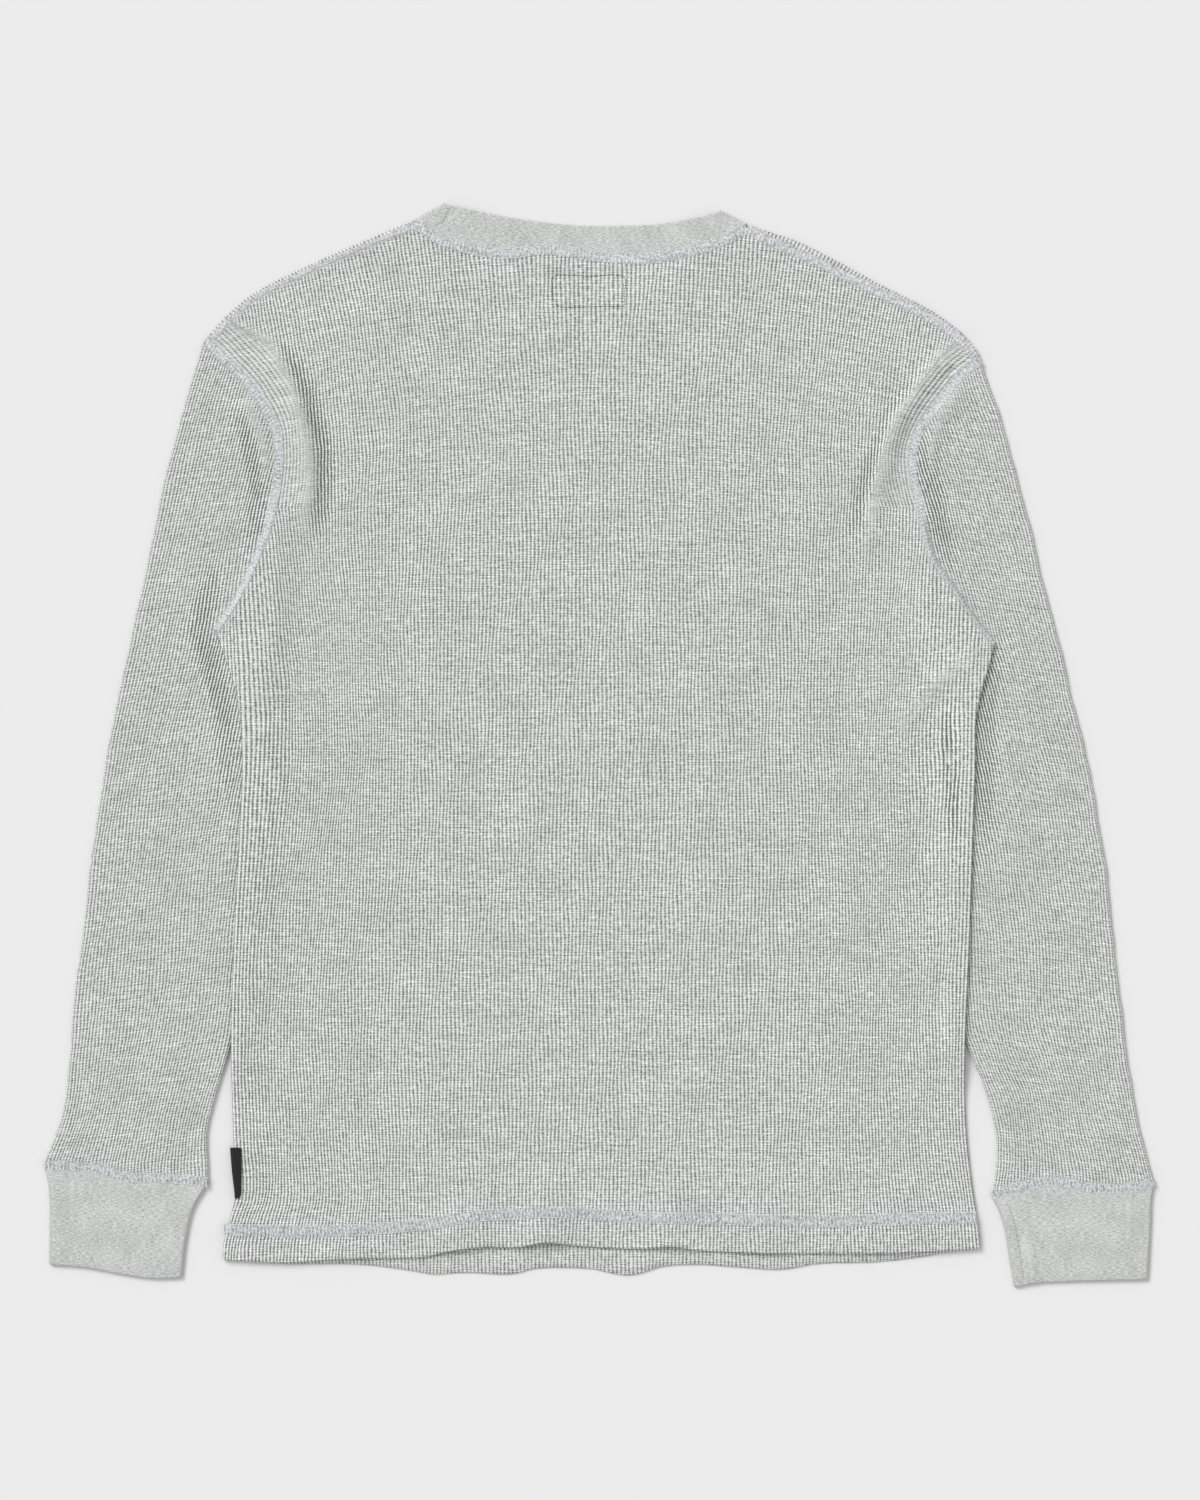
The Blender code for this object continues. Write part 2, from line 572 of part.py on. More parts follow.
def make_sleeve(side, name):
    start = armhole_start(side)
    seam = at_shares(smooth_path(side.cuff_seam), np.linspace(0, 1, ARMHOLE_STEPS + 1))
    outer = smooth_path((start[0],) + side.sleeve_outer)
    inner = smooth_path((start[-1],) + side.sleeve_inner)
    rings = flat_tube(outer, inner, start, seam, SLEEVE_SECTIONS,
                      lambda plan: ridge_height(plan, side.ridges[1]), LAP_STEPS)
    sleeve = sheet_from_grid(name, rings, None, closed=True, turn=side.turn)
    thicken(sleeve, WALL, 0)
    return sleeve, WAFFLE


def make_cuff(side, name):
    """Doubled band, sewn to the sleeve and folded back at the wrist."""
    steps = np.linspace(0, 1, ARMHOLE_STEPS + 1)
    start = at_shares(smooth_path(side.cuff_seam), steps) - np.array((0, SEAM_GAP))
    outer = smooth_path((start[0],) + side.cuff_outer[1:])
    inner = smooth_path((start[-1],) + side.cuff_inner[1:])
    end = at_shares(smooth_path(side.cuff_opening), steps)
    rings = flat_tube(outer, inner, start, end, CUFF_SECTIONS,
                      lambda plan: np.zeros(len(plan)), 0)
    shares = np.ones(rings.shape[:2])
    shares[-1] = FOLDED_EDGE
    cuff = sheet_from_grid(name, rings, shares, closed=True, turn=side.turn)
    thicken(cuff, WALL, 0)
    return cuff, JERSEY


# Neckband ---------------------------------------------------------------------------------

def turnover(side, tip):
    """Seam end and free end of the line over which the neckband turns, and its way out."""
    outline = shoulder_line(side, 0.0)[1]
    inward = normals(outline, side.turn)[-1]
    along = outline[-1] - outline[-2]
    along /= np.linalg.norm(along)
    seam_end = outline[-1] + along * 2 * SEAM_GAP + inward * OUTER_BEND
    rim = np.array(tip) - (seam_end - inward * OUTER_BEND)
    rim /= np.linalg.norm(rim)
    out = -side.turn * np.array((rim[1], -rim[0]))
    return seam_end, np.array(tip) - out * OUTER_BEND, out


def neckband_stations():
    """Seam point, free point and height of each station round the ring."""
    left_seam, left_free, left_out = turnover(LEFT, LEFT_TIP)
    right_seam, right_free, right_out = turnover(RIGHT, RIGHT_TIP)
    back_seam = back_neck(shoulder_line(LEFT, None)[0][-1], shoulder_line(RIGHT, None)[0][-1])
    back_seam += np.array((0, SEAM_GAP))
    back_seam[0], back_seam[-1] = left_seam, right_seam
    free_path = smooth_path((left_free,) + FREE_EDGE + (right_free,))
    back_free = at_shares(free_path, NECK_SHARES)
    front_seam = bowl(left_seam, right_seam, FRONT_NECK_DEPTH - 2 * SEAM_GAP)
    drop = FRONT_NECK_DEPTH - NECKBAND_HEIGHT + left_free[1] - left_seam[1]
    front_free = bowl(left_free, right_free, drop)

    stations = [(s, f, OUTER_BEND + MIDDLE_BEND) for s, f in zip(back_seam, back_free)]
    for angle in BEND_ANGLES:
        shift = right_out * MIDDLE_BEND * np.sin(angle)
        level = OUTER_BEND + MIDDLE_BEND * np.cos(angle)
        stations.append((right_seam + shift, right_free + shift, level))
    stations += [(s, f, OUTER_BEND - MIDDLE_BEND)
                 for s, f in zip(front_seam[::-1], front_free[::-1])]
    for angle in BEND_ANGLES[::-1]:
        shift = left_out * MIDDLE_BEND * np.sin(angle)
        level = OUTER_BEND + MIDDLE_BEND * np.cos(angle)
        stations.append((left_seam + shift, left_free + shift, level))
    return stations


def make_neckband():
    rings = []
    back_stations = len(NECK_SHARES)
    for number, (seam, free, level) in enumerate(neckband_stations()):
        plan = np.array([seam + (free - seam) * share for share in BAND_SHARES])
        height = np.full(len(plan), level)
        if number < back_stations:
            height -= neck_sag(plan)
        rings.append(np.concatenate((plan, height[:, None]), axis=-1))
    grid = np.swapaxes(np.array(rings), 0, 1)
    shares = np.ones(grid.shape[:2])
    shares[-1] = FOLDED_EDGE
    band = sheet_from_grid("neckband", grid, shares, closed=True, turn=-1)
    thicken(band, WALL, 0)
    return band, JERSEY


# Tab --------------------------------------------------------------------------------------

def make_side_tab():
    """Comes out of the left side seam, bends over the edge and lies on the back."""
    edge = smooth_path(LEFT.edge)
    level = FLAT_TUBE + SEAM_GAP + TAB_WALL / 2
    rows = []
    for share, width in TAB_WIDTHS:
        y = TAB_TOP - share * TAB_LENGTH
        x = np.interp(y, edge[:, 1], edge[:, 0])
        out = x - TAB_REACH
        rows.append([(out, y, OUTER_BEND), (out - TAB_BEND, y, mix(OUTER_BEND, level, 0.5)),
                     (out + TAB_BEND, y, level - TAB_BEND), (x + width * 0.3, y, level),
                     (x + width * 0.65, y, level), (x + width, y, level)])
    tab = sheet_from_grid("side_tab", np.array(rows), None, turn=-1)
    thicken(tab, TAB_WALL, 0)
    return tab, TAB_CLOTH


# Meshes -----------------------------------------------------------------------------------

def join_rows(bm, low, high, turn=1, closed=False):
    count = len(low)
    for i in range(count if closed else count - 1):
        j = (i + 1) % count
        corners = (low[i], low[j], high[j], high[i])
        bm.faces.new(corners if turn > 0 else corners[::-1])


def sheet_from_grid(name, grid, shares, closed=False, turn=1):
    """An open surface lofted through rows of points, with the wall's share at each point."""
    bm = bmesh.new()
    layer = bm.verts.layers.deform.verify()
    previous = None
    for row, points in enumerate(grid):
        ring = []
        for column, point in enumerate(points):
            vertex = bm.verts.new([value * MM for value in point])
            vertex[layer][0] = 1.0 if shares is None else float(shares[row, column])
            ring.append(vertex)
        if previous:
            join_rows(bm, previous, ring, turn, closed)
        previous = ring
    mesh = bpy.data.meshes.new(name)
    bm.to_mesh(mesh)
    bm.free()
    sheet = bpy.data.objects.new(name, mesh)
    sheet.vertex_groups.new(name="wall")
    return sheet


def thicken(sheet, wall, offset):
    """Give the surface its wall: above it for offset 1, half on each side for 0."""
    solidify = sheet.modifiers.new("Wall", "SOLIDIFY")
    solidify.thickness = wall * MM
    solidify.offset = offset
    solidify.vertex_group = "wall"


def material(name, colour, roughness):
    made = bpy.data.materials.get(name) or bpy.data.materials.new(name)
    made.use_nodes = True
    shader = made.node_tree.nodes["Principled BSDF"]
    shader.inputs["Base Color"].default_value = (*colour, 1.0)
    shader.inputs["Roughness"].default_value = roughness
    shader.inputs["Metallic"].default_value = 0.0
    made.diffuse_color = (*colour, 1.0)
    return made


def main():
    for old in list(bpy.data.objects):
        bpy.data.objects.remove(old, do_unlink=True)
    collection = bpy.data.collections.new(COLLECTION)
    bpy.context.scene.collection.children.link(collection)
    pieces = [make_front_panel(), make_back_panel(), make_neckband(), make_side_tab()]
    for side, word in ((LEFT, "left"), (RIGHT, "right")):
        pieces.append(make_sleeve(side, "sleeve_" + word))
        pieces.append(make_cuff(side, "cuff_" + word))
    for piece, cloth in pieces:
        piece.data.materials.append(material(*cloth))
        piece.data.shade_smooth()
        collection.objects.link(piece)


main()
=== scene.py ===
"""Dressed model of a long-sleeved thermal top in waffle knit, laid flat with its back side up.

+X points to the wearer's right, +Y to the neck and +Z up, and the floor is z = 0. Tables and
paths are in millimetres, as on the pattern pieces, and meshes are in metres. The body panels
and sleeves are shells of cloth whose columns follow the wales of the knit, so that every rib
has its own relief. Rib and course numbers travel with the cloth in the UV map "knit".
"""
from collections import namedtuple

import bpy
import numpy as np
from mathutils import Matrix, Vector


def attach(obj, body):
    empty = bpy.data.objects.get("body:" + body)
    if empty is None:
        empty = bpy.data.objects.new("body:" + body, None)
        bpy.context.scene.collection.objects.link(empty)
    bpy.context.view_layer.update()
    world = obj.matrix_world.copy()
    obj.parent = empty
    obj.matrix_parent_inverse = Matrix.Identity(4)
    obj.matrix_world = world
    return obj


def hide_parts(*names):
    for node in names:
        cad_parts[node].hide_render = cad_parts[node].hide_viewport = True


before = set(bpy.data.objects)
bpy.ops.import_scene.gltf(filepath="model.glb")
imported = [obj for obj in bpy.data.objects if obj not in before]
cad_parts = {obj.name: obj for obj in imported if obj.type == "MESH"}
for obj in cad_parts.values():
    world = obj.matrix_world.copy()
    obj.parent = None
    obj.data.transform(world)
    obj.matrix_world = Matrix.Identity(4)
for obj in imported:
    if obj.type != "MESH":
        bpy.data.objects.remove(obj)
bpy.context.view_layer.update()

MM = 0.001

# Cloth
WALL = 1.7                 # waffle knit, and the doubled jersey of cuffs and neckband
HEM_WALL = 2.5             # where the hem is turned up
HEM_DEPTH = 20.0
HEM_FOLD = 1.25            # roundness of the folded hem
LAYER_GAP = 0.5            # air between two layers that lie on each other
SEAM_GAP = 0.3             # between two pieces along a seam

# Levels, worked out from the cloth
LAYER = WALL + LAYER_GAP
FLAT_TUBE = LAYER + WALL
OUTER_BEND = FLAT_TUBE / 2
MIDDLE_BEND = LAYER / 2
INNER_BEND = LAYER_GAP / 2
OVER_SLEEVE = FLAT_TUBE + SEAM_GAP

# Knit
RIB_DEPTH = 0.5            # from the crest of a rib to the groove beside it
PER_WALE = 4               # columns of faces in one rib and its groove
PER_COARSE_ROW = 3         # rows of the face side for each row of the hidden side
COURSE = 1.77              # height of a row of waffle cells on the body
SLEEVE_COURSE = 1.8
SIDE_COLUMNS = 72          # columns of faces that end on the lower armhole
BODY_WALES = 208
MIDDLE_SPREAD = 0.07       # how much wider the wales lie in the middle of the body
CHEST_SPREAD = 0.09        # and on the line between the armholes
FAN_START = 200.0          # height from which the wales fan out to the shoulders
FANNED = (0.0004, 3.2e-6)  # how they spread, by the height above it and its square
FLARE_START = 0.0          # height from which the side seams cut across the wales
SIDE_PITCH = 2.3           # of the wales that they cut
LEANING = 1.6              # how the wales' lean grows from there to the armholes
STRIP_PITCH = 2.9          # of the wales between an armhole and the fold beside it
SLEEVE_WALES = 48          # across one layer of the sleeve
BEND_WALES = 3             # round a folded edge of the sleeve
SHOULDER_PITCH = 2.2       # of the sleeve's wales at the shoulder
FULL_WIDTH = -132.0        # height where every wale of the sleeve has begun
JERSEY_WALE = 1.1

# Body
SIDE_LENGTH = 430.0
HEM_STEP = 25.0            # length over which the turned-up hem's thickness dies out
STITCHED_STEP = 4.0        # and over which its edge shows under the stitching
TUCK = 32.0                # how far the sleeve's underarm lies under the body's edge
LIFT_MARGIN = 3.0          # how far the full lift reaches past the sleeve's hidden edge
LIFT_SLOPE = 25.0          # width over which the body comes back down to its level
LIFT_FADE = 36.0           # length over which the lift begins and ends along the edge
FRONT_NECK_DEPTH = 105.0
NECKLINE_POWER = 2.4       # a fuller scoop than a parabola
NECKBAND_HEIGHT = 20.0
NECK_SAG = 1.8             # how far the back sinks inside the front neckline
SAG_INSET = 12.0           # how much shallower than the neckline the sunk part is
SAG_START = 0.9            # share of that scoop where the sinking begins
SAG_SLOPE = 0.45           # share over which it reaches its depth
ARMHOLE_STEPS = 12
LAP_STEPS = 4              # steps of the lower armhole where the body laps over the sleeve

Point = namedtuple("Point", "x y")
# A soft fold, or a trough where the heights are negative; its crest is rows of x, y, height
Ridge = namedtuple("Ridge", "reach crest inner", defaults=(None,))
Wave = namedtuple("Wave", "x height reach")
Stray = namedtuple("Stray", "size across along start")
Side = namedtuple("Side", "name turn edge armhole chest shoulder sleeve_outer sleeve_inner "
                          "cuff_seam cuff_outer cuff_inner cuff_opening ridges "
                          "gathers leaves side_wales widths shoulder_widths stitching_lean")

LEFT = Side(
    name="left",
    turn=1,
    # side seam, from the hem to the underarm
    edge=((-255.9, -350.1), (-254.9, -338.5), (-249.8, -318.8), (-246.5, -308.6),
          (-248.5, -265.1), (-249.8, -199.1), (-247.6, -131.8), (-243.7, -52.9), (-242.3, -14.1),
          (-245.1, 30.1), (-255.6, 64.1), (-260.4, 76.3)),
    # from the underarm to the shoulder point
    armhole=((-260.4, 76.3), (-245.8, 99), (-235.9, 118.6), (-227.6, 139.2), (-221.6, 161.3),
             (-218, 184.8), (-217.4, 200.1), (-220.2, 214.3), (-227, 228.6), (-235.8, 242.2),
             (-246.1, 254.1), (-268.4, 275.2)),
    # from the shoulder point to the neck, with the strip of the front that turns over it
    shoulder=((-268.4, 275.2, 3), (-254.9, 289.8, 3), (-242, 301.7, 3),
              (-229.1, 310.3, 3), (-201.9, 323.8, 3), (-173, 336.7, 3),
              (-127.4, 355.8, 3)),
    chest=(-221.6, 161.3),
    sleeve_outer=((-277.4, 247.7), (-292.3, 193.3), (-305.3, 138.9), (-318.2, 70.9),
                  (-333.1, 2.9), (-346.1, -78.7), (-354.2, -146.7), (-360.3, -214.7),
                  (-362.8, -240), (-366.8, -258), (-377.8, -285.6)),
    sleeve_inner=((-234.6, 40), (-234.4, 0), (-235.5, -53), (-240.6, -132),
                  (-247.6, -190), (-254.4, -217.5), (-261, -241.9), (-264.5, -258.3),
                  (-265.1, -280), (-264.7, -297.8)),
    # from the outer fold to the inner one; the cuff's folds run on from its ends
    cuff_seam=((-377.8, -285.6), (-361, -286.8), (-339.3, -288.6), (-324.3, -293.5),
               (-290.6, -295.3), (-264.7, -297.8)),
    cuff_outer=((-374.6, -297.4), (-373.4, -329), (-373.9, -353.5)),
    cuff_inner=((-270.2, -305.9), (-275.5, -315.4), (-280.1, -334.1), (-283.4, -362.3)),
    cuff_opening=((-373.9, -353.5), (-350.1, -355.2), (-326.3, -359.6), (-304, -362.8),
                  (-283.4, -362.3)),
    # soft folds that run beside the armhole, on the body and on the sleeve
    ridges=(Ridge(14, ((-254, 290, 0.6), (-246.1, 284, 1.8), (-222.3, 270.8, 3.8),
                         (-209, 243.6, 5.5), (-201.6, 221.8, 6), (-196.4, 198, 6),
                         (-195.4, 176.3, 4.5), (-198.5, 157.2, 2.5), (-203.3, 132.1, 0)), 9.5),
            Ridge(9, ((-246, 243, 0), (-237.5, 229, 2.8), (-229.5, 208, 3.4),
                        (-226.9, 194.6, 2.4), (-229, 172, 0)))),
    # where ribs are pressed together beside those folds, with the share of it as height
    gathers=(Ridge(11, ((-214.1, 266.7, 0.5), (-201.2, 243.6, 1), (-193.7, 221.8, 1),
                          (-187.6, 198, 1), (-186.9, 176.3, 0.9), (-190.3, 155.9, 0.6),
                          (-195.1, 135.5, 0))),
             Ridge(12, ((-246.8, 230.7, 0.2), (-237.3, 206.9, 0.9), (-231.8, 179.7, 1),
                          (-233.2, 152.5, 0.7), (-237.3, 128.7, 0.2))),
             Ridge(13, ((-258, 122, 0.2), (-267, 98, 0.8), (-271, 76, 0.9),
                          (-263, 50, 1), (-254.5, 22, 0.8), (-252, -18, 0.5),
                          (-252, -60, 0)))),
    leaves=-212.0,
    side_wales=11,          # wales between the side seam and the chest line's end
    widths=((0, 0.65), (0.25, 0.75), (0.45, 1), (1, 1)),     # of the armhole's stitching
    shoulder_widths=((0, 0.8), (0.15, 0.45), (0.85, 0.4), (1, 0.85)),
    stitching_lean=0.4,
)

RIGHT = Side(
    name="right",
    turn=-1,
    edge=((259.1, -342.6), (257.8, -328.3), (252.8, -294.3), (249.4, -258.9), (248.7, -205.9),
          (251.7, -133.8), (254.4, -52.9), (255.7, -17.5), (256.4, 18.2), (259.8, 35.5),
          (264.6, 51.8), (268.7, 67.5)),
    armhole=((268.7, 67.5), (250.3, 91.9), (238.1, 110.3), (228.5, 123.5), (223.2, 138.5),
             (218, 161.3), (213.4, 181), (213.2, 199), (218.4, 214.2), (227, 227.4),
             (235.6, 238.4), (243.8, 248.7), (259.6, 261.6)),
    shoulder=((259.6, 261.6, 2.5), (255.7, 269.4, 2.5), (248.3, 278.3, 2.5), (236.7, 287.8, 2.5),
              (223.4, 296.6, 3), (189.8, 313.6, 3.6), (168.7, 325.2, 4.8), (134.7, 342.2, 5.8),
              (117.7, 348, 4.2), (101.4, 353.7, 3)),
    chest=(218, 161.3),
    sleeve_outer=((269.3, 234.1), (285.7, 179.7), (299.3, 125.3), (312.9, 70.9), (325.8, 16.5),
                  (337.3, -37.9), (346.9, -105.9), (354.4, -173.9), (360.5, -214.7),
                  (367, -256), (377.8, -296)),
    sleeve_inner=((248, 35), (250, 0), (248.5, -53), (244, -132), (245.4, -190),
                  (252.6, -213), (262.5, -236.5), (266.6, -254.9), (268.9, -282),
                  (266.4, -306.5)),
    cuff_seam=((377.8, -296), (369.3, -300.2), (350.3, -301.8), (331.2, -301.1),
               (312.2, -297), (302.7, -297.7), (283.6, -301.1), (266.4, -306.5)),
    cuff_outer=((375.8, -307.9), (375, -329), (373.1, -363.7)),
    cuff_inner=((271.4, -316.7), (275, -328), (278.9, -350.7), (281.9, -368.9)),
    cuff_opening=((373.1, -363.7), (340.7, -364.3), (312.2, -365), (296, -366),
                  (281.9, -368.9)),
    ridges=(Ridge(14, ((246, 280, 0.4), (241, 272, 1.4), (232, 262, 2.8),
                         (217, 243, 4.5), (202.5, 221, 6), (194.5, 201, 6),
                         (190.5, 183, 5), (186, 162, 3), (180.9, 125.3, 0)), 9.5),
            Ridge(8.5, ((250, 247, 0), (242, 236.5, 2.6), (232, 220.5, 3.2),
                        (225.5, 200, 2.2), (226, 176, 0)))),
    gathers=(Ridge(12, ((228.5, 253.1, 0.6), (213.6, 239.5, 0.8), (200, 219.1, 1),
                          (195.2, 206.2, 1), (185.7, 186.5, 1), (178.2, 166.1, 0.7),
                          (172.8, 132.1, 0))),
             Ridge(13, ((232, 215, 0.2), (222.7, 196.7, 0.9), (226.1, 172.9, 1),
                          (231.6, 145.7, 0.9), (238.4, 121.9, 0.3))),
             Ridge(12, ((272, 66, 0.2), (266, 44, 0.8), (263, 12, 0.9),
                          (263, -25, 0.8), (262, -62, 0.4), (261, -95, 0)))),
    leaves=-214.0,
    side_wales=17,
    widths=((0, 0.3), (0.25, 0.45), (0.45, 0.9), (0.6, 1), (1, 1.05)),
    shoulder_widths=((0, 1), (1, 1)),
    stitching_lean=1.7,
)

BACK_HEM = ((-255.9, -350.1), (-212.8, -352.1), (-167.2, -349.4), (-121.7, -348.7),
            (-101.9, -344.6), (-82.9, -341.9), (-55.7, -341.9), (-36.7, -338.5), (-10.1, -341.2),
            (28.6, -342.9), (49.7, -341.2), (68.1, -343.9), (134.7, -346), (212.2, -345.3),
            (259.1, -342.6))
FRONT_HEM = ((-255.9, -350.1), (-212.8, -353.2), (-167.2, -353.2), (-134.6, -356.9),
             (-114.2, -360), (-89, -358.9), (-59.8, -359.9), (-42.8, -356.2), (-6.1, -356.2),
             (19.8, -360.7), (42.9, -354.8), (68.1, -353.5), (121.1, -356.9), (147.6, -353.1),
             (193.2, -351.4), (225.2, -347.3), (259.1, -342.6))
# Seam of the back neck between its two corners, and the neckband's tips and free edge
BACK_NECK = ((-119.6, 350.2), (-111, 344.2), (-98, 339.5), (-79.5, 334.7), (-62.5, 333.3),
             (-36, 336.2), (-1.3, 331.6), (33.4, 329.9), (59.2, 334.2), (79, 340.3),
             (95, 347.6))
LEFT_TIP = Point(-104.5, 368.2)
RIGHT_TIP = Point(82.3, 363.3)
FREE_EDGE = ((-91.1, 364.2), (-67.3, 359.2), (-16.9, 352.8), (7.5, 352.4), (38.1, 353.3),
             (65.3, 357.6))

# Waves of the back's hem, which stand up from the front and die out above it
HEM_WAVES = (Wave(-165, 1.4, 30), Wave(-92, 2.6, 26), Wave(-37, 4.2, 27),
             Wave(50, 3.0, 27), Wave(112, 1.8, 28), Wave(190, 1.2, 30))
WAVE_FADE = 65.0

# Woven tab in the left side seam, which bends over the edge and lies on the back
TAB_BEND = 0.4             # roundness of that bend
TAB_WALL = 0.8
TAB_TOP = -273.9
TAB_LENGTH = 34.7
TAB_CLEAR = 0.6            # least distance outside the seam
TAB_LIFT = 0.15            # air under it, beside the seam's own
TAB_ROOT = 0.3             # how far inside its bend it leaves the seam
TAB_ROWS = 19
# share of its length, and its bend and free edge there
TAB_EDGES = ((0.0, -250.2, -243.0), (0.5, -248.8, -242.6), (0.85, -247.3, -242.8),
             (0.95, -247.0, -243.3), (1.0, -246.6, -244.6))

# What each piece was cut to, in metres, all round on a tube; doubled pieces by their outside
SLEEVE_FOLDS = 0.0035      # area of both folded edges of a sleeve

# How deep the ribs stand, and how they end at the seams
DEEPEST = 1.7              # the most, as a share of the usual depth
# where ribs are smoothed, the knit's finish also paints shade over them
STRETCHED = 0.85           # how much a stretched crest smooths the ribs
STRETCH_HEIGHT = 2.0       # of a crest that is stretched in full
STRETCH_REACH = 0.55       # share of a fold's reach that is stretched
# where ribs are deeper, the knit's finish paints light that lifts them
SIDE_DEPTH = 0.15          # how much deeper the back's ribs are at its sides
SIDES_BEGIN = 70.0         # distance from the middle where they begin to deepen
SIDES_GROW = 130.0         # width over which they do
STRIP_SMOOTH = 0.35        # how much flatter they are between the armholes and the folds
# this also deepens the painted shade in the grooves there
GATHERED = 1.3             # how much deeper they are where the cloth is pressed together
SEAM_REACH = 3.8           # from a seam's middle to where ribs stand at full depth
SEAM_FADE = 1.6            # width over which they reach it
SEAM_SINK = 0.9            # room for the stitching under a surface that lies on the floor
FLOOR_CLEAR = 0.1          # between that stitching and the floor's level
SIDE_CLEAR = 3.0           # width at a side seam that keeps no room for stitching
EDGE_INSET = 1.0           # how far the hidden side keeps inside a side seam
HEM_INSET = 0.3            # and above the hem's fold
FOLD_MARGIN = 0.2          # less than the hem's roundness, for the hidden side
EDGE_ROUND = OUTER_BEND - 0.1      # roundness of a layer's level at a folded edge
FAR = 99.0                 # more than any distance from an edge that counts
FOLD_ANGLES = np.linspace(0, np.pi, 7)             # round a folded edge
ROUND_ANGLES = np.linspace(0, np.pi, 9)[1:-1]      # between two layers of a tube
WRAP_SHARES = (0.33, 0.67, 1.0)

# Small strays of the wales, as in cloth that is laid out by hand
STRAYS = (Stray(0.60, 230.0, 310.0, 0.3), Stray(0.40, -83.0, 97.0, 1.9),
          Stray(0.26, 37.0, -61.0, 4.0), Stray(0.16, -17.0, 29.0, 2.2),
          Stray(0.10, 9.0, 13.0, 5.1))

# Light, camera and colour
FLOOR_COLOUR = (0.812, 0.812, 0.812)
AMBIENT = 0.62
KEY = 1.87
KEY_SPREAD = 28.0
KEY_FROM = (-0.55, 0.55, 0.75)
FLOOR_REACH = 6.0          # in metres, like the camera's place
CAMERA_AT = (0.00075, -0.00394, 3.825)
LENS = 135.0
RIB_COLOUR = (0.74, 0.755, 0.735)
# painted highlight on the tops of the cells, uneven by the yarn's random heather
RIB_HIGHLIGHT = (0.95, 0.955, 0.945)
# painted shade in the sunk lines of the cells
LINE_SHADE_COLOUR = (0.38, 0.39, 0.375)       # between two cells of one rib
# painted shade in the grooves between ribs
GROOVE_SHADE_COLOUR = (0.15, 0.16, 0.15)
JERSEY_DARK = (0.40, 0.41, 0.40)
JERSEY_LIGHT = (0.745, 0.755, 0.74)
THREAD_DARK = (0.60, 0.604, 0.619)
THREAD_LIGHT = (0.91, 0.914, 0.929)
SEAM_DARK = (0.36, 0.365, 0.38)         # flat bands under the threads
SEAM_LIGHT = (0.75, 0.754, 0.777)
HEM_SEAM_DARK = (0.25, 0.254, 0.266)    # at the hems, where ribs show through
HEM_SEAM_LIGHT = (0.60, 0.604, 0.624)
CUFF_SEAM_DARK = (0.29, 0.294, 0.306)   # the same at the cuffs
CUFF_SEAM_LIGHT = (0.655, 0.659, 0.678)
DARK_THREAD = (0.09, 0.09, 0.095)
DARK_THREAD_LIGHT = (0.20, 0.205, 0.205)
TAPE_DARK = (0.010, 0.011, 0.012)
TAPE_LIGHT = (0.028, 0.029, 0.031)
TWILL_PITCH = 0.55

# Creases, placed one by one
UNDERARM_FOLD = Ridge(9.0, ((262, 63, 0), (248, 55, 1.4), (234, 46, 2.0), (221, 31, 2.2),
                            (210, 18, 1.6), (198, 2, 0)))
UNDERARM_TROUGH = Ridge(7.5, ((238, 34, 0), (237, 16, -1.2), (238.5, -10, -1.8), (241, -40, -1.4),
                              (241, -80, 0)))
UNDERARM_GATHER = Ridge(8.0, ((238, 30, 0), (237, 12, 0.7), (238.5, -12, 0.9), (241, -42, 0.6),
                              (241, -80, 0)))
BACK_CREASES = (
    # under the neck seam and beside its right corner
    Ridge(3.2, ((-96, 336.0, 0), (-88, 334.2, -1.4), (-74, 331.0, -1.6), (-60, 329.6, 0))),
    Ridge(3.2, ((30, 327.0, 0), (42, 327.6, -1.4), (56, 330.0, -1.5), (66, 332.4, 0))),
    Ridge(3.0, ((98.0, 344.0, 0), (92.5, 340.5, -0.8), (87.5, 336.5, 0))),
    # a pinch where the right armhole's fold begins
    Ridge(3.2, ((244.5, 259.0, 0), (238.7, 253.8, -2.0), (232.0, 247.0, 0))),
    # from the underarms
    UNDERARM_FOLD,
    Ridge(7.0, ((-238, 60, 0), (-226, 44, 0.8), (-212, 30, 1.1), (-200, 12, 0.6), (-192, -4, 0))),
    UNDERARM_TROUGH,
    # soft troughs inside the side seams
    Ridge(6.5, ((232, -136, 0), (232.5, -160, -2.0), (231, -185, -2.0), (229, -216, 0))),
    Ridge(8.0, ((-231, -60, 0), (-229, -96, -0.6), (-231, -140, -0.7), (-234, -176, 0))),
    # wide soft swells of the body
    Ridge(34.0, ((-150, 150, 0), (-120, 60, 1.0), (-104, -60, 0.7), (-110, -170, 0))),
    Ridge(30.0, ((60, 240, 0), (96, 120, 0.8), (110, -10, 1.0), (96, -150, 0))),
    Ridge(22.0, ((-60, 300, 0), (-20, 262, 0.6), (40, 250, 0.5), (90, 280, 0))),
    # puckers at the hem's left end
    Ridge(4.5, ((-250, -316, 0), (-243, -327, 0.8), (-236, -342, 0))),
    Ridge(4.0, ((-238, -314, 0), (-232, -326, 0.6), (-226, -339, 0))),
    Ridge(5.0, ((-224, -318, 0), (-214, -329, 0.5), (-207, -344, 0))),
)
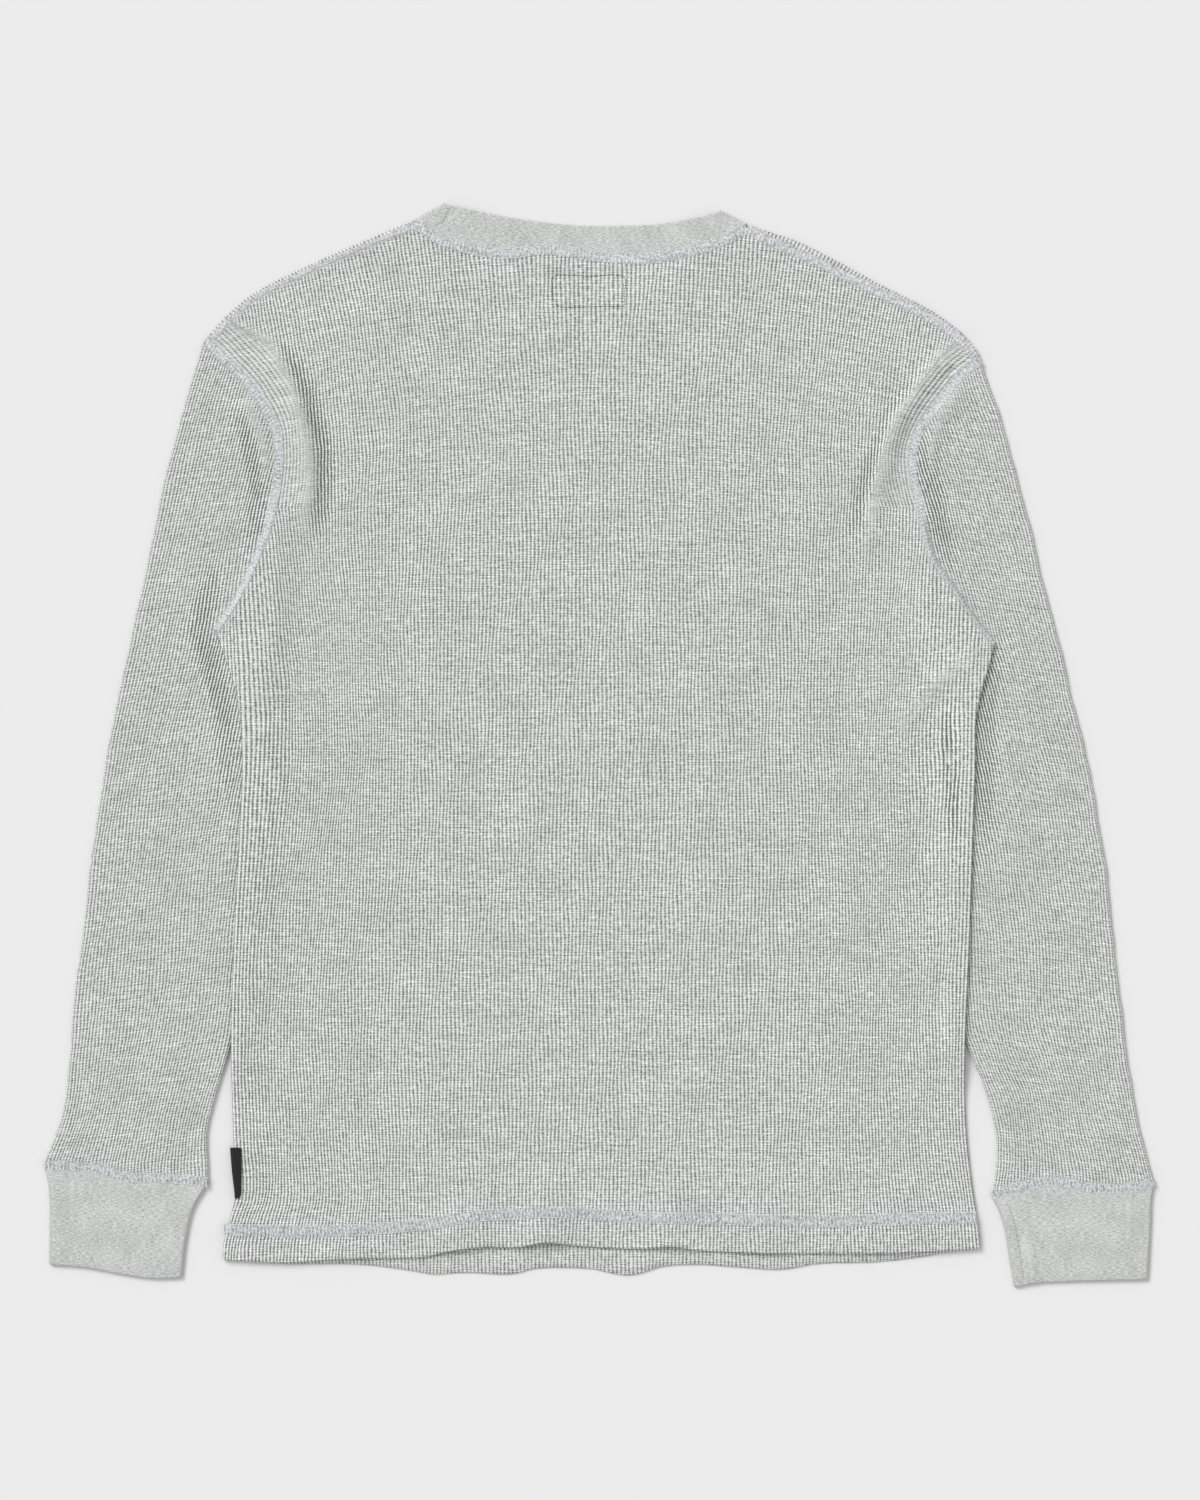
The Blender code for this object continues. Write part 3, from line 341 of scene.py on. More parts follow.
# On the underside, where they stand off the floor
FRONT_CREASES = (
    Ridge(24.0, ((-120, 160, 0), (-96, 60, 0.4), (-104, -90, 0))),
    Ridge(20.0, ((120, 110, 0), (88, 10, 0.4), (96, -140, 0))),
    Ridge(12.0, ((-60, -250, 0), (-48, -290, 0.35), (-52, -330, 0))),
    Ridge(12.0, ((66, -240, 0), (58, -280, 0.35), (70, -325, 0))),
    Ridge(10.0, ((-210, 60, 0), (-196, 36, 0.4), (-188, 0, 0))),
    Ridge(10.0, ((206, 66, 0), (196, 30, 0.4), (184, 6, 0))),
)
SLEEVE_CREASES = (
    Ridge(9.0, ((-322, -20, 0), (-304, -38, 0.7), (-284, -44, 0.5), (-270, -60, 0))),
    Ridge(8.0, ((-338, -120, 0), (-318, -130, 0.6), (-296, -146, 0))),
    Ridge(7.0, ((-352, -268, 0), (-346, -246, 0.7), (-342, -214, 0))),
    Ridge(7.0, ((-300, -280, 0), (-298, -258, 0.8), (-292, -226, 0))),
    Ridge(9.0, ((330, -12, 0), (310, -32, 0.7), (290, -40, 0.5), (276, -58, 0))),
    Ridge(8.0, ((342, -110, 0), (322, -124, 0.6), (300, -132, 0))),
    Ridge(7.0, ((310, -284, 0), (308, -262, 0.8), (302, -230, 0))),
    Ridge(7.0, ((350, -288, 0), (346, -266, 0.6), (338, -240, 0))),
)
CUFF_CREASES = (
    Ridge(2.8, ((276, -309, 0), (281.5, -322, -0.7), (285.6, -343, -0.9), (288.8, -364.5, -0.7))),
    Ridge(3.6, ((289, -322, 0), (292.0, -334, 1.2), (294.5, -350, 1.5), (295.5, -364, 0.9))),
    Ridge(5.0, ((330, -302, 0), (322, -312, -0.5), (308, -314, 0))),
    Ridge(4.0, ((-318, -297, 0), (-314, -306, -0.7), (-302, -308, 0))),
    Ridge(5.0, ((-366, -338, 0), (-346, -334, 0.5), (-322, -338, 0))),
    Ridge(9.0, ((-350, -296, 0), (-346, -318, 0.5), (-348, -344, 0))),
)
BAND_CREASES = (
    Ridge(7.0, ((-60, 354, 0), (-48, 346, 0.4), (-36, 340, 0))),
    Ridge(7.0, ((20, 350, 0), (26, 342, 0.4), (30, 334, 0))),
)


# Paths ------------------------------------------------------------------------------------

CHUNK = 4096               # points whose distances from a path are worked out at a time


def mix(a, b, share):
    return a * (1 - share) + b * share


def smooth_path(points, samples=12):
    """A dense path through the points, by centripetal Catmull-Rom."""
    ring = np.array(points, float)
    ring = np.vstack((2 * ring[0] - ring[1], ring, 2 * ring[-1] - ring[-2]))
    spans = [span(ring[i:i + 4], samples) for i in range(len(ring) - 3)]
    return np.vstack(spans + [ring[-2]])


def span(corners, samples):
    """Points from the second to the third of four corners, by Barry and Goldman's pyramid."""
    a, b, c, d = corners
    tb = np.linalg.norm(b - a) ** 0.5
    tc = tb + np.linalg.norm(c - b) ** 0.5
    td = tc + np.linalg.norm(d - c) ** 0.5
    t = np.linspace(tb, tc, samples, endpoint=False)[:, None]
    ab = mix(a, b, t / tb)
    bc = mix(b, c, (t - tb) / (tc - tb))
    cd = mix(c, d, (t - tc) / (td - tc))
    abc = mix(ab, bc, t / tc)
    bcd = mix(bc, cd, (t - tb) / (td - tb))
    return mix(abc, bcd, (t - tb) / (tc - tb))


def travelled(path):
    steps = np.linalg.norm(np.diff(path, axis=0), axis=1)
    return np.concatenate(([0.0], np.cumsum(steps)))


def at_shares(path, shares):
    """Points at shares of the path's length."""
    run = travelled(path)
    wanted = np.asarray(shares, float) * run[-1]
    return np.stack([np.interp(wanted, run, path[:, k]) for k in range(path.shape[1])], axis=-1)


def normals(path, turn):
    """Unit normals of a path, to its right for turn 1 and to its left for turn -1."""
    along = np.gradient(path, axis=0)
    along /= np.linalg.norm(along, axis=1, keepdims=True)
    return turn * np.stack((along[:, 1], -along[:, 0]), axis=-1)


def smooth_step(x):
    x = np.clip(x, 0.0, 1.0)
    return x * x * (3 - 2 * x)


def bowed(points, shares):
    """How far points stray from the straight line between their ends."""
    return points - mix(points[0], points[-1], np.asarray(shares, float)[:, None])


def patch(left, right, bottom, top, u, v, reaches):
    """A grid of plan points between four edges, rows by v and columns by u.

    Each edge's bow is felt for its own reach (side, bottom, top) and fades out softly.
    """
    side_reach, bottom_reach, top_reach = reaches
    across = u[None, :, None]
    up = v[:, None, None]
    plan = mix(mix(bottom[0], bottom[-1], across), mix(top[0], top[-1], across), up)
    plan += bowed(bottom, u)[None] * (1 - smooth_step(up / bottom_reach))
    plan += bowed(top, u)[None] * (1 - smooth_step((1 - up) / top_reach))
    for edge, share in ((left, across), (right, 1 - across)):
        near = 1 - smooth_step(share / side_reach)
        bow = bowed(edge, v)
        plan[..., 1] += bow[:, 1:] * near[..., 0]
        plan[..., 0] += np.interp(plan[..., 1], edge[:, 1], bow[:, 0]) * near[..., 0]
    return plan


def apart_from(plan, path, reach):
    """Distance of plan points from a path, at most reach, and where along it they lie."""
    apart = np.full(plan.shape[:-1], float(reach))
    where = np.zeros(plan.shape[:-1], int)
    low, high = path.min(axis=0) - reach, path.max(axis=0) + reach
    close = np.all((plan > low) & (plan < high), axis=-1)
    points = plan[close]
    least, nearest = np.empty(len(points)), np.empty(len(points), int)
    for first in range(0, len(points), CHUNK):
        chunk = slice(first, first + CHUNK)
        gaps = np.linalg.norm(points[chunk, None] - path, axis=-1)
        least[chunk], nearest[chunk] = gaps.min(axis=-1), gaps.argmin(axis=-1)
    apart[close], where[close] = np.minimum(least, reach), nearest
    return apart, where


# Folds ------------------------------------------------------------------------------------

CREST_STEPS = 60           # points along a crest from which distances are measured
FOLD_STEPS = 80            # and along the fold that an armhole's strip of wales ends on


def ridge_height(plan, ridge):
    """Height of one soft ridge over plan points: round across, uneven along its crest.

    A crest with negative heights is a trough. Its inner reach is towards the middle of the top.
    """
    line = at_shares(np.array(ridge.crest, float), np.linspace(0, 1, CREST_STEPS))
    apart, nearest = apart_from(plan, line[:, :2], ridge.reach)
    if ridge.inner:
        inward = np.abs(plan[..., 0]) < np.abs(line[nearest, 0])
        nearer = np.minimum(apart * ridge.reach / ridge.inner, ridge.reach)
        apart = np.where(inward, nearer, apart)
    return line[nearest, 2] * (0.5 + 0.5 * np.cos(np.pi * apart / ridge.reach))


def raised(level, plan, ridges):
    """A level over plan points, with soft ridges added."""
    for ridge in ridges:
        level = level + ridge_height(plan, ridge)
    return level


def hem_wave_height(plan, above_hem):
    height = np.zeros(plan.shape[:-1])
    for wave in HEM_WAVES:
        across = np.clip(np.abs(plan[..., 0] - wave.x) / wave.reach, 0, 1)
        height += wave.height * (0.5 + 0.5 * np.cos(np.pi * across))
    return height * (1 - smooth_step(above_hem / WAVE_FADE))


def neck_sag(plan):
    """How far the back sinks where no front lies under it, inside the front neckline."""
    middle = (LEFT_TIP.x + RIGHT_TIP.x) / 2
    half_width = (RIGHT_TIP.x - LEFT_TIP.x) / 2
    top = (LEFT_TIP.y + RIGHT_TIP.y) / 2
    depth = FRONT_NECK_DEPTH - SAG_INSET
    radius = np.hypot((plan[..., 0] - middle) / half_width, (plan[..., 1] - top) / depth)
    return NECK_SAG * smooth_step((SAG_START - radius) / SAG_SLOPE)


def armhole_start(side):
    """Start of the sleeve, from the shoulder point to its corner under the body."""
    path = smooth_path(side.armhole)
    shares = np.linspace(0, 1, ARMHOLE_STEPS + 1)
    outward = -at_shares(normals(path, side.turn), shares)
    points = at_shares(path, shares) + SEAM_GAP * outward
    corner = points[0] + (side.turn * TUCK, 0)
    lap = shares[:LAP_STEPS, None] / shares[LAP_STEPS]
    points[:LAP_STEPS] = mix(corner, points[LAP_STEPS], lap)
    return points[::-1]


def body_lift(plan):
    """How far both body panels rise where they lie on the tucked edges of the sleeves."""
    height = 0
    for side in (LEFT, RIGHT):
        start = armhole_start(side)[::-1]
        hidden = np.vstack((smooth_path((start[0],) + side.sleeve_inner)[::-1], start[1:]))
        edge = np.interp(plan[..., 1], hidden[:, 1], hidden[:, 0])
        past = side.turn * (plan[..., 0] - edge) - LIFT_MARGIN
        lap_end = start[LAP_STEPS, 1]
        begins = smooth_step((plan[..., 1] - side.leaves + LIFT_FADE) / LIFT_FADE)
        ends = 1 - smooth_step((plan[..., 1] - lap_end) / LIFT_FADE)
        height = height + begins * ends * (1 - smooth_step(past / LIFT_SLOPE))
    return OVER_SLEEVE * height


def above(hem, plan):
    """Height of plan points above a hem's lower edge."""
    edge = smooth_path(hem)
    return plan[..., 1] - np.interp(plan[..., 0], edge[:, 0], edge[:, 1])


def hem_thickness(above_hem):
    """What the turned-up hem adds, with its cut edge under the stitching."""
    return (HEM_WALL - WALL) * (1 - smooth_step((above_hem - HEM_DEPTH) / STITCHED_STEP))


def back_top(plan):
    """Level of the back panel's face side."""
    above_hem = above(BACK_HEM, plan)
    level = FLAT_TUBE + body_lift(plan) + hem_wave_height(plan, above_hem) - neck_sag(plan)
    level += (HEM_WALL - WALL) * (1 - smooth_step((above_hem - HEM_DEPTH) / HEM_STEP))
    level += hem_thickness(above_hem)
    return raised(level, plan, (LEFT.ridges[0], RIGHT.ridges[0], *BACK_CREASES))


def back_wall(plan):
    return WALL + hem_thickness(above(BACK_HEM, plan))


def front_bottom(plan):
    """Level of the front panel's face side, which lies on the floor."""
    return raised(body_lift(plan), plan, FRONT_CREASES)


def front_wall(plan):
    return WALL + hem_thickness(above(FRONT_HEM, plan))


def sleeve_top(side, plan):
    return raised(FLAT_TUBE, plan, (side.ridges[1], *SLEEVE_CREASES))


def shoulder_line(side, inset):
    """Shoulder from its point to the neck, moved inwards by inset or by the wrap's width."""
    table = np.array(side.shoulder, float)
    outline = smooth_path(table[:, :2])
    wraps = np.interp(travelled(outline), travelled(table[:, :2]), table[:, 2])
    depth = wraps + SEAM_GAP if inset is None else np.full(len(wraps), inset)
    return outline + normals(outline, side.turn) * depth[:, None], outline, wraps


def bowl(start, end, depth, shares):
    """A round scoop between two points, full at its middle."""
    share = shares[:, None]
    scoop = depth * (1 - np.abs(2 * share - 1) ** NECKLINE_POWER)
    return mix(start, end, share) - scoop * np.array((0.0, 1.0))


def rounded(inset, radius):
    """How far a surface drops at a distance from an edge that is rounded to a radius."""
    near = np.clip(1 - inset / radius, 0, 1)
    return radius * (1 - np.sqrt(1 - near ** 2))


# Cloth builder ----------------------------------------------------------------------------

class Cloth:
    """Collects one piece: points in millimetres, and the wale and course at each corner."""

    def __init__(self):
        self.points, self.ribs, self.faces, self.knit = [], [], [], []
        self.count = 0

    def lay(self, points, ribs=1.0):
        """Add a grid of points and give back their numbers."""
        numbers = self.count + np.arange(points[..., 0].size).reshape(points.shape[:-1])
        self.points.append(points.reshape(-1, 3))
        self.ribs.append(np.broadcast_to(ribs, points.shape[:-1]).ravel())
        self.count += numbers.size
        return numbers

    def weave(self, numbers, knit, turn=1):
        """Faces between the points of a grid, counter-clockwise for turn 1."""
        corners = (numbers[:-1, :-1], numbers[:-1, 1:], numbers[1:, 1:], numbers[1:, :-1])
        places = (knit[:-1, :-1], knit[:-1, 1:], knit[1:, 1:], knit[1:, :-1])
        faces = np.stack(corners, -1).reshape(-1, 4)
        places = np.stack(places, -2).reshape(-1, 4, 2)
        self.faces.append(faces[:, ::turn])
        self.knit.append(places[:, ::turn])

    def close_edge(self, fine, coarse, knit, step, turn=1):
        """Faces along the edge between the face side's points and the hidden side's."""
        faces, places = [], []
        for number in range(len(coarse) - 1):
            face_side = np.arange((number + 1) * step, number * step - 1, -1)
            faces.append([coarse[number], coarse[number + 1], *fine[face_side]])
            places.append(np.vstack((knit[number * step], knit[(number + 1) * step],
                                     knit[face_side])))
        self.faces.append(np.array(faces)[:, ::turn])
        self.knit.append(np.array(places)[:, ::turn])

    def mesh(self, name):
        mesh = bpy.data.meshes.new(name)
        points = np.concatenate(self.points) * MM
        mesh.vertices.add(len(points))
        mesh.vertices.foreach_set("co", points.ravel().astype(np.float32))
        sizes = np.concatenate([np.full(len(f), f.shape[1]) for f in self.faces])
        corners = np.concatenate([f.ravel() for f in self.faces])
        mesh.loops.add(len(corners))
        mesh.loops.foreach_set("vertex_index", corners.astype(np.int32))
        mesh.polygons.add(len(sizes))
        starts = np.concatenate(((0,), np.cumsum(sizes)[:-1]))
        mesh.polygons.foreach_set("loop_start", starts.astype(np.int32))
        mesh.update(calc_edges=True)
        knit = np.concatenate([k.reshape(-1, 2) for k in self.knit])
        mesh.uv_layers.new(name="knit").uv.foreach_set("vector", knit.ravel().astype(np.float32))
        # depth of the ribs, from which the knit's finish also paints its groove shade, crest
        # shade and lift
        ribs = mesh.attributes.new("rib", "FLOAT", "POINT")
        ribs.data.foreach_set("value", np.concatenate(self.ribs).astype(np.float32))
        mesh.validate()
        mesh.shade_smooth()
        return mesh

    def piece(self, name, finish):
        made = bpy.data.objects.new(name, self.mesh(name))
        made.data.materials.append(finish)
        bpy.context.scene.collection.objects.link(made)
        return made


def grid(u, v):
    """Wale and course numbers as one grid."""
    return np.stack(np.broadcast_arrays(u, v), axis=-1).astype(float)


def groove(wales):
    """1 in the grooves between ribs and 0 on their crests."""
    return 0.5 + 0.5 * np.cos(2 * np.pi * wales)


def stray(plan):
    """How far the wales stray sideways."""
    x, y = plan[..., 0], plan[..., 1]
    return sum(s.size * np.sin(2 * np.pi * (x / s.across + y / s.along) + s.start)
               for s in STRAYS)


# Body -------------------------------------------------------------------------------------

MIDDLE_WALES = BODY_WALES - LEFT.side_wales - RIGHT.side_wales
SIDE_PANES = SIDE_COLUMNS // PER_WALE      # columns of the hidden side beside the armhole
MIDDLE_PLACES = LEFT.side_wales + np.arange(MIDDLE_WALES * PER_WALE + 1) / PER_WALE
# Wale number at every column of the body
BODY_PLACES = np.concatenate((
    np.linspace(0, LEFT.side_wales, SIDE_COLUMNS, endpoint=False), MIDDLE_PLACES,
    BODY_WALES - np.linspace(RIGHT.side_wales, 0, SIDE_COLUMNS + 1)[1:]))
# Rows above the hem along the side seam, closer where the hem is folded and stitched
HEM_ROWS = (0, 0.4, 0.9, 1.6, 2.6, 4, 6, 9, 12, 15, 17.5, 19.5, 21.5, 23.5, 26, 29, 33)
LOWER_ROWS = np.concatenate((HEM_ROWS, np.linspace(HEM_ROWS[-1], SIDE_LENGTH, 54)[1:]))
UPPER_ROWS = smooth_step(np.linspace(0, 1, 34) * 0.5 + 0.5) * 2 - 1
# How far into a block the bow of its sides, bottom and top is felt
LOWER_REACHES = (0.26, 0.4, 0.7)
UPPER_REACHES = (0.36, 1.0, 1.0)
CUT_PASSES = 5             # that find the wales where they lean at the sides
COURSE_BOW = 2000.0        # the courses' bow, by the square of the distance from the middle
BOW_BEGINS = 50            # height where it begins
BOW_GROWS = 200            # height over which it grows
STRIP_REACH = 40.0         # of the wales that follow an armhole
STRIP_EDGE = 1.2           # width over which they meet the others at the fold
STRIP_EASE = 45            # height over which their own pitch is reached
STRAY_FADE = 12            # width at a side seam where the strays die out
TURNED_COURSE = 0.6        # courses from one turned row of the shoulder to the next


def shares_of(places, spread):
    """Shares of a width at wale numbers, wider apart in the middle."""
    share = (places - places[0]) / (places[-1] - places[0])
    return share + spread / (2 * np.pi) * np.sin(2 * np.pi * (share - 0.5))


def chest_shares():
    return shares_of(MIDDLE_PLACES, CHEST_SPREAD)


def by_width(path, columns):
    """Points on a path, evenly apart by x, so that upright wales end on them."""
    x = np.maximum.accumulate(np.abs(path[:, 0] - path[0, 0])) + np.arange(len(path)) * 1e-6
    wanted = np.linspace(0, x[-1], columns + 1)
    return np.stack([np.interp(wanted, x, path[:, k]) for k in (0, 1)], axis=-1)


def armhole_halves(side, corner):
    """The armhole below and above the chest line; the upper half ends at a corner."""
    path = smooth_path(side.armhole)
    chest = np.argmin(np.linalg.norm(path - side.chest, axis=1))
    upper = path[chest:].copy()
    share = travelled(upper)[:, None] / travelled(upper)[-1]
    return path[:chest + 1], upper + share * (corner - upper[-1])


def body_blocks(hem, neck, inset):
    """Plan grids below and above the chest line, from armhole to armhole."""
    shares = shares_of(BODY_PLACES, MIDDLE_SPREAD)
    lower_left, upper_left = armhole_halves(LEFT, shoulder_line(LEFT, inset)[0][0])
    lower_right, upper_right = armhole_halves(RIGHT, shoulder_line(RIGHT, inset)[0][0])
    inner = chest_shares()
    line = mix(lower_left[-1], lower_right[-1], inner[:, None])
    top = np.vstack((by_width(lower_left, SIDE_COLUMNS)[:-1], line,
                     by_width(lower_right, SIDE_COLUMNS)[::-1][1:]))
    rows = LOWER_ROWS / SIDE_LENGTH
    lower = patch(at_shares(smooth_path(LEFT.edge), rows),
                  at_shares(smooth_path(RIGHT.edge), rows),
                  at_shares(smooth_path(hem), shares), top, shares, rows, LOWER_REACHES)
    upper = patch(at_shares(upper_left, UPPER_ROWS), at_shares(upper_right, UPPER_ROWS),
                  line, top_edge(neck, inset, inner), inner, UPPER_ROWS, UPPER_REACHES)
    return lower, upper


def top_edge(neck, inset, inner):
    """Shoulder, neck and shoulder, whose columns are even by x and meet the neck's corners."""
    left, right = (shoulder_line(side, inset)[0] for side in (LEFT, RIGHT))
    x = mix(left[0, 0], right[0, 0], inner)
    first, last = neck_columns(inner, inset)
    shoulder = at_shares(left, np.linspace(0, 1, first + 1))
    other = at_shares(right, np.linspace(0, 1, len(inner) - last))[::-1]
    between = (x[first:last + 1] - x[first]) / (x[last] - x[first])
    return np.vstack((shoulder[:-1], neck(left[-1], right[-1], between), other[1:]))


def neck_columns(inner, inset):
    """The columns, on whole wales, where the two shoulders meet the neck."""
    width = abs(LEFT.shoulder[0][0] - RIGHT.shoulder[0][0])
    found = []
    for side, shares in ((LEFT, inner), (RIGHT, 1 - inner[::-1])):
        shoulder = shoulder_line(side, inset)[0]
        reach = abs(shoulder[-1, 0] - shoulder[0, 0]) / width
        found.append(int(round(np.searchsorted(shares, reach) / PER_WALE)) * PER_WALE)
    return found[0], len(inner) - 1 - found[1]


def back_neck(start, end, shares):
    return at_shares(smooth_path((start,) + BACK_NECK + (end,)), shares)


def front_neck(start, end, shares):
    return bowl(start, end, FRONT_NECK_DEPTH, shares)


def cut_by_side(plan):
    """Wale numbers over the lower block: above the flare they lean to meet the armholes."""
    columns = plan.swapaxes(0, 1)
    start = np.array([np.interp(FLARE_START, line[:, 1], line[:, 0]) for line in columns])
    first, last = SIDE_COLUMNS, -SIDE_COLUMNS - 1
    drift = plan[-1, :, 0] - start
    drift[:first], drift[last:] = drift[first], drift[last]
    rise = (plan[..., 1] - FLARE_START) / (plan[-1, first, 1] - FLARE_START)
    share = np.clip(rise, 0, 1) ** LEANING
    wales = np.broadcast_to(BODY_PLACES, share.shape)
    found = wales
    for _ in range(CUT_PASSES):
        back = plan[..., 0] - share * np.interp(found, BODY_PLACES, drift)
        cut = (back - np.clip(back, start[0], start[-1])) / SIDE_PITCH
        found = np.interp(back, start, BODY_PLACES) + cut
    return np.where(rise > 0, found, wales)


def beside_armholes(plan):
    """Wale numbers over the upper block, and where strips lie between armhole and fold."""
    line_x = plan[0, :, 0]
    pitch = line_x[PER_WALE] - line_x[0]
    rise = np.maximum(plan[..., 1] - FAN_START, 0)
    x = plan[..., 0] / (1 + FANNED[0] * rise + FANNED[1] * rise ** 2)
    wales = np.interp(x, line_x, MIDDLE_PLACES)
    wales += (x - np.clip(x, line_x[0], line_x[-1])) / pitch
    strips = np.zeros(wales.shape)
    for side, first in ((LEFT, MIDDLE_PLACES[0]), (RIGHT, MIDDLE_PLACES[-1])):
        seam = armhole_halves(side, side.shoulder[0][:2])[1]
        apart = apart_from(plan, seam, STRIP_REACH)[0]
        fold = at_shares(np.array(side.ridges[0].crest, float), np.linspace(0, 1, FOLD_STEPS))
        fold_x = np.interp(plan[..., 1], fold[::-1, 1], fold[::-1, 0])
        strip = smooth_step(0.5 - side.turn * (plan[..., 0] - fold_x) / STRIP_EDGE)
        own = mix(pitch, STRIP_PITCH, smooth_step(rise / STRIP_EASE))
        wales = mix(wales, first + side.turn * apart / own, strip)
        strips = np.maximum(strips, strip)
    return wales, strips


def courses(plan):
    """Course number at plan points; courses bow down towards the shoulders."""
    bow = plan[..., 0] ** 2 / COURSE_BOW * smooth_step((plan[..., 1] - BOW_BEGINS) / BOW_GROWS)
    return (plan[..., 1] + bow) / COURSE


def rib_strength(plan, seams, ridges=(), gathers=()):
    """How deep ribs stand: 1 as a rule, less on a crest, more in a gather, 0 under a seam."""
    strength = np.ones(plan.shape[:-1])
    for gather in gathers:
        strength += GATHERED * ridge_height(plan, gather)
    for ridge in ridges:
        crest = [(x, y, min(height / STRETCH_HEIGHT, 1)) for x, y, height in ridge.crest]
        stretch = ridge_height(plan, Ridge(ridge.reach * STRETCH_REACH, crest))
        strength *= 1 - STRETCHED * stretch
    for seam in seams:
        apart = apart_from(plan, seam, SEAM_REACH)[0]
        strength *= smooth_step((apart - SEAM_REACH + SEAM_FADE) / SEAM_FADE)
    return strength


def panel_level(level, upside, plan, knit, above_hem, strength):
    """Face side of a panel: ribs, rounded side and hem edges, and room for seams below."""
    depth = RIB_DEPTH * groove(knit[..., 0]) * np.minimum(strength, DEEPEST)
    face = level(plan) - upside * depth
    from_side = side_inset(plan)
    face -= upside * rounded(from_side, EDGE_ROUND)
    face -= upside * rounded(above_hem, HEM_FOLD)
    if upside < 0:
        face += SEAM_SINK * np.maximum(1 - strength, 0) * smooth_step(from_side / SIDE_CLEAR)
    return face


def side_inset(plan):
    """Distance inwards from the side seams, or a large one above the underarms."""
    inset = np.full(plan.shape[:-1], FAR)
    for side in (LEFT, RIGHT):
        edge = smooth_path(side.edge)
        x = np.interp(plan[..., 1], edge[:, 1], edge[:, 0])
        past = side.turn * (plan[..., 0] - x)
        beside = plan[..., 1] <= edge[-1, 1]
        inset = np.where(beside, np.minimum(inset, np.maximum(past, 0)), inset)
    return inset


def make_panel(hem, neck, inset, level, wall, seams, upside):
    """A body panel: its ribbed face side is above the hidden side for upside 1, else below."""
    cloth = Cloth()
    ridges = (LEFT.ridges[0], RIGHT.ridges[0], UNDERARM_FOLD) if upside > 0 else ()
    gathers = (LEFT.gathers[0], RIGHT.gathers[0], UNDERARM_GATHER) if upside > 0 else ()
    blocks = []
    for low, plan in zip((True, False), body_blocks(hem, neck, inset)):
        wales, strips = (cut_by_side(plan), 0.0) if low else beside_armholes(plan)
        knit = grid(wales, courses(plan))
        plan[..., 0] += stray(plan) * smooth_step(side_inset(plan) / STRAY_FADE)
        strength = rib_strength(plan, seams, ridges, gathers)
        if upside > 0:
            from_middle = np.abs(plan[..., 0])
            strength *= 1 + SIDE_DEPTH * smooth_step((from_middle - SIDES_BEGIN) / SIDES_GROW)
            strength *= 1 - STRIP_SMOOTH * strips
        rise = above(hem, plan) if low else np.full(strength.shape, FAR)
        height = panel_level(level, upside, plan, knit, rise, strength)
        face = cloth.lay(np.dstack((plan, height)), strength)
        coarse = plan[::PER_COARSE_ROW, ::PER_WALE].copy()
        under = level(coarse) - upside * wall(coarse)
        if low:
            coarse[:, 0, 0] += EDGE_INSET
            coarse[:, -1, 0] -= EDGE_INSET
            under[0] += upside * (HEM_FOLD - FOLD_MARGIN)
            coarse[0, :, 1] += HEM_INSET
        blocks.append((face, cloth.lay(np.dstack((coarse, under))), knit))
    (low_face, low_hidden, low_knit), (face, hidden, knit) = blocks
    face[0] = low_face[-1, SIDE_COLUMNS:-SIDE_COLUMNS]
    hidden[0] = low_hidden[-1, SIDE_PANES:-SIDE_PANES]
    for face_side, hidden_side, places in blocks:
        cloth.weave(face_side, places, upside)
        cloth.weave(hidden_side, places[::PER_COARSE_ROW, ::PER_WALE], -upside)
    # the open edges, walking round from the hem's left end, but for the shoulders and neck
    rows, columns = PER_COARSE_ROW, PER_WALE
    far, near = slice(None, -SIDE_COLUMNS - 2, -1), slice(SIDE_COLUMNS, None, -1)
    far_coarse, near_coarse = slice(None, -SIDE_PANES - 2, -1), slice(SIDE_PANES, None, -1)
    for fine, coarse, places, step in (
            (low_face[0], low_hidden[0], low_knit[0], columns),
            (low_face[:, -1], low_hidden[:, -1], low_knit[:, -1], rows),
            (low_face[-1, far], low_hidden[-1, far_coarse], low_knit[-1, far], columns),
            (face[:, -1], hidden[:, -1], knit[:, -1], rows),
            (face[::-1, 0], hidden[::-1, 0], knit[::-1, 0], rows),
            (low_face[-1, near], low_hidden[-1, near_coarse], low_knit[-1, near], columns),
            (low_face[::-1, 0], low_hidden[::-1, 0], low_knit[::-1, 0], rows)):
        cloth.close_edge(fine, coarse, places, step, upside)
    return cloth, face[-1], hidden[-1], knit[-1]


def make_back():
    cloth, face, hidden, knit = make_panel(BACK_HEM, back_neck, None, back_top, back_wall,
                                           TOP_SEAMS, 1)
    cloth.close_edge(face[::-1], hidden[::-1], knit[::-1], PER_WALE)
    return cloth.piece("back_waffle", WAFFLE)


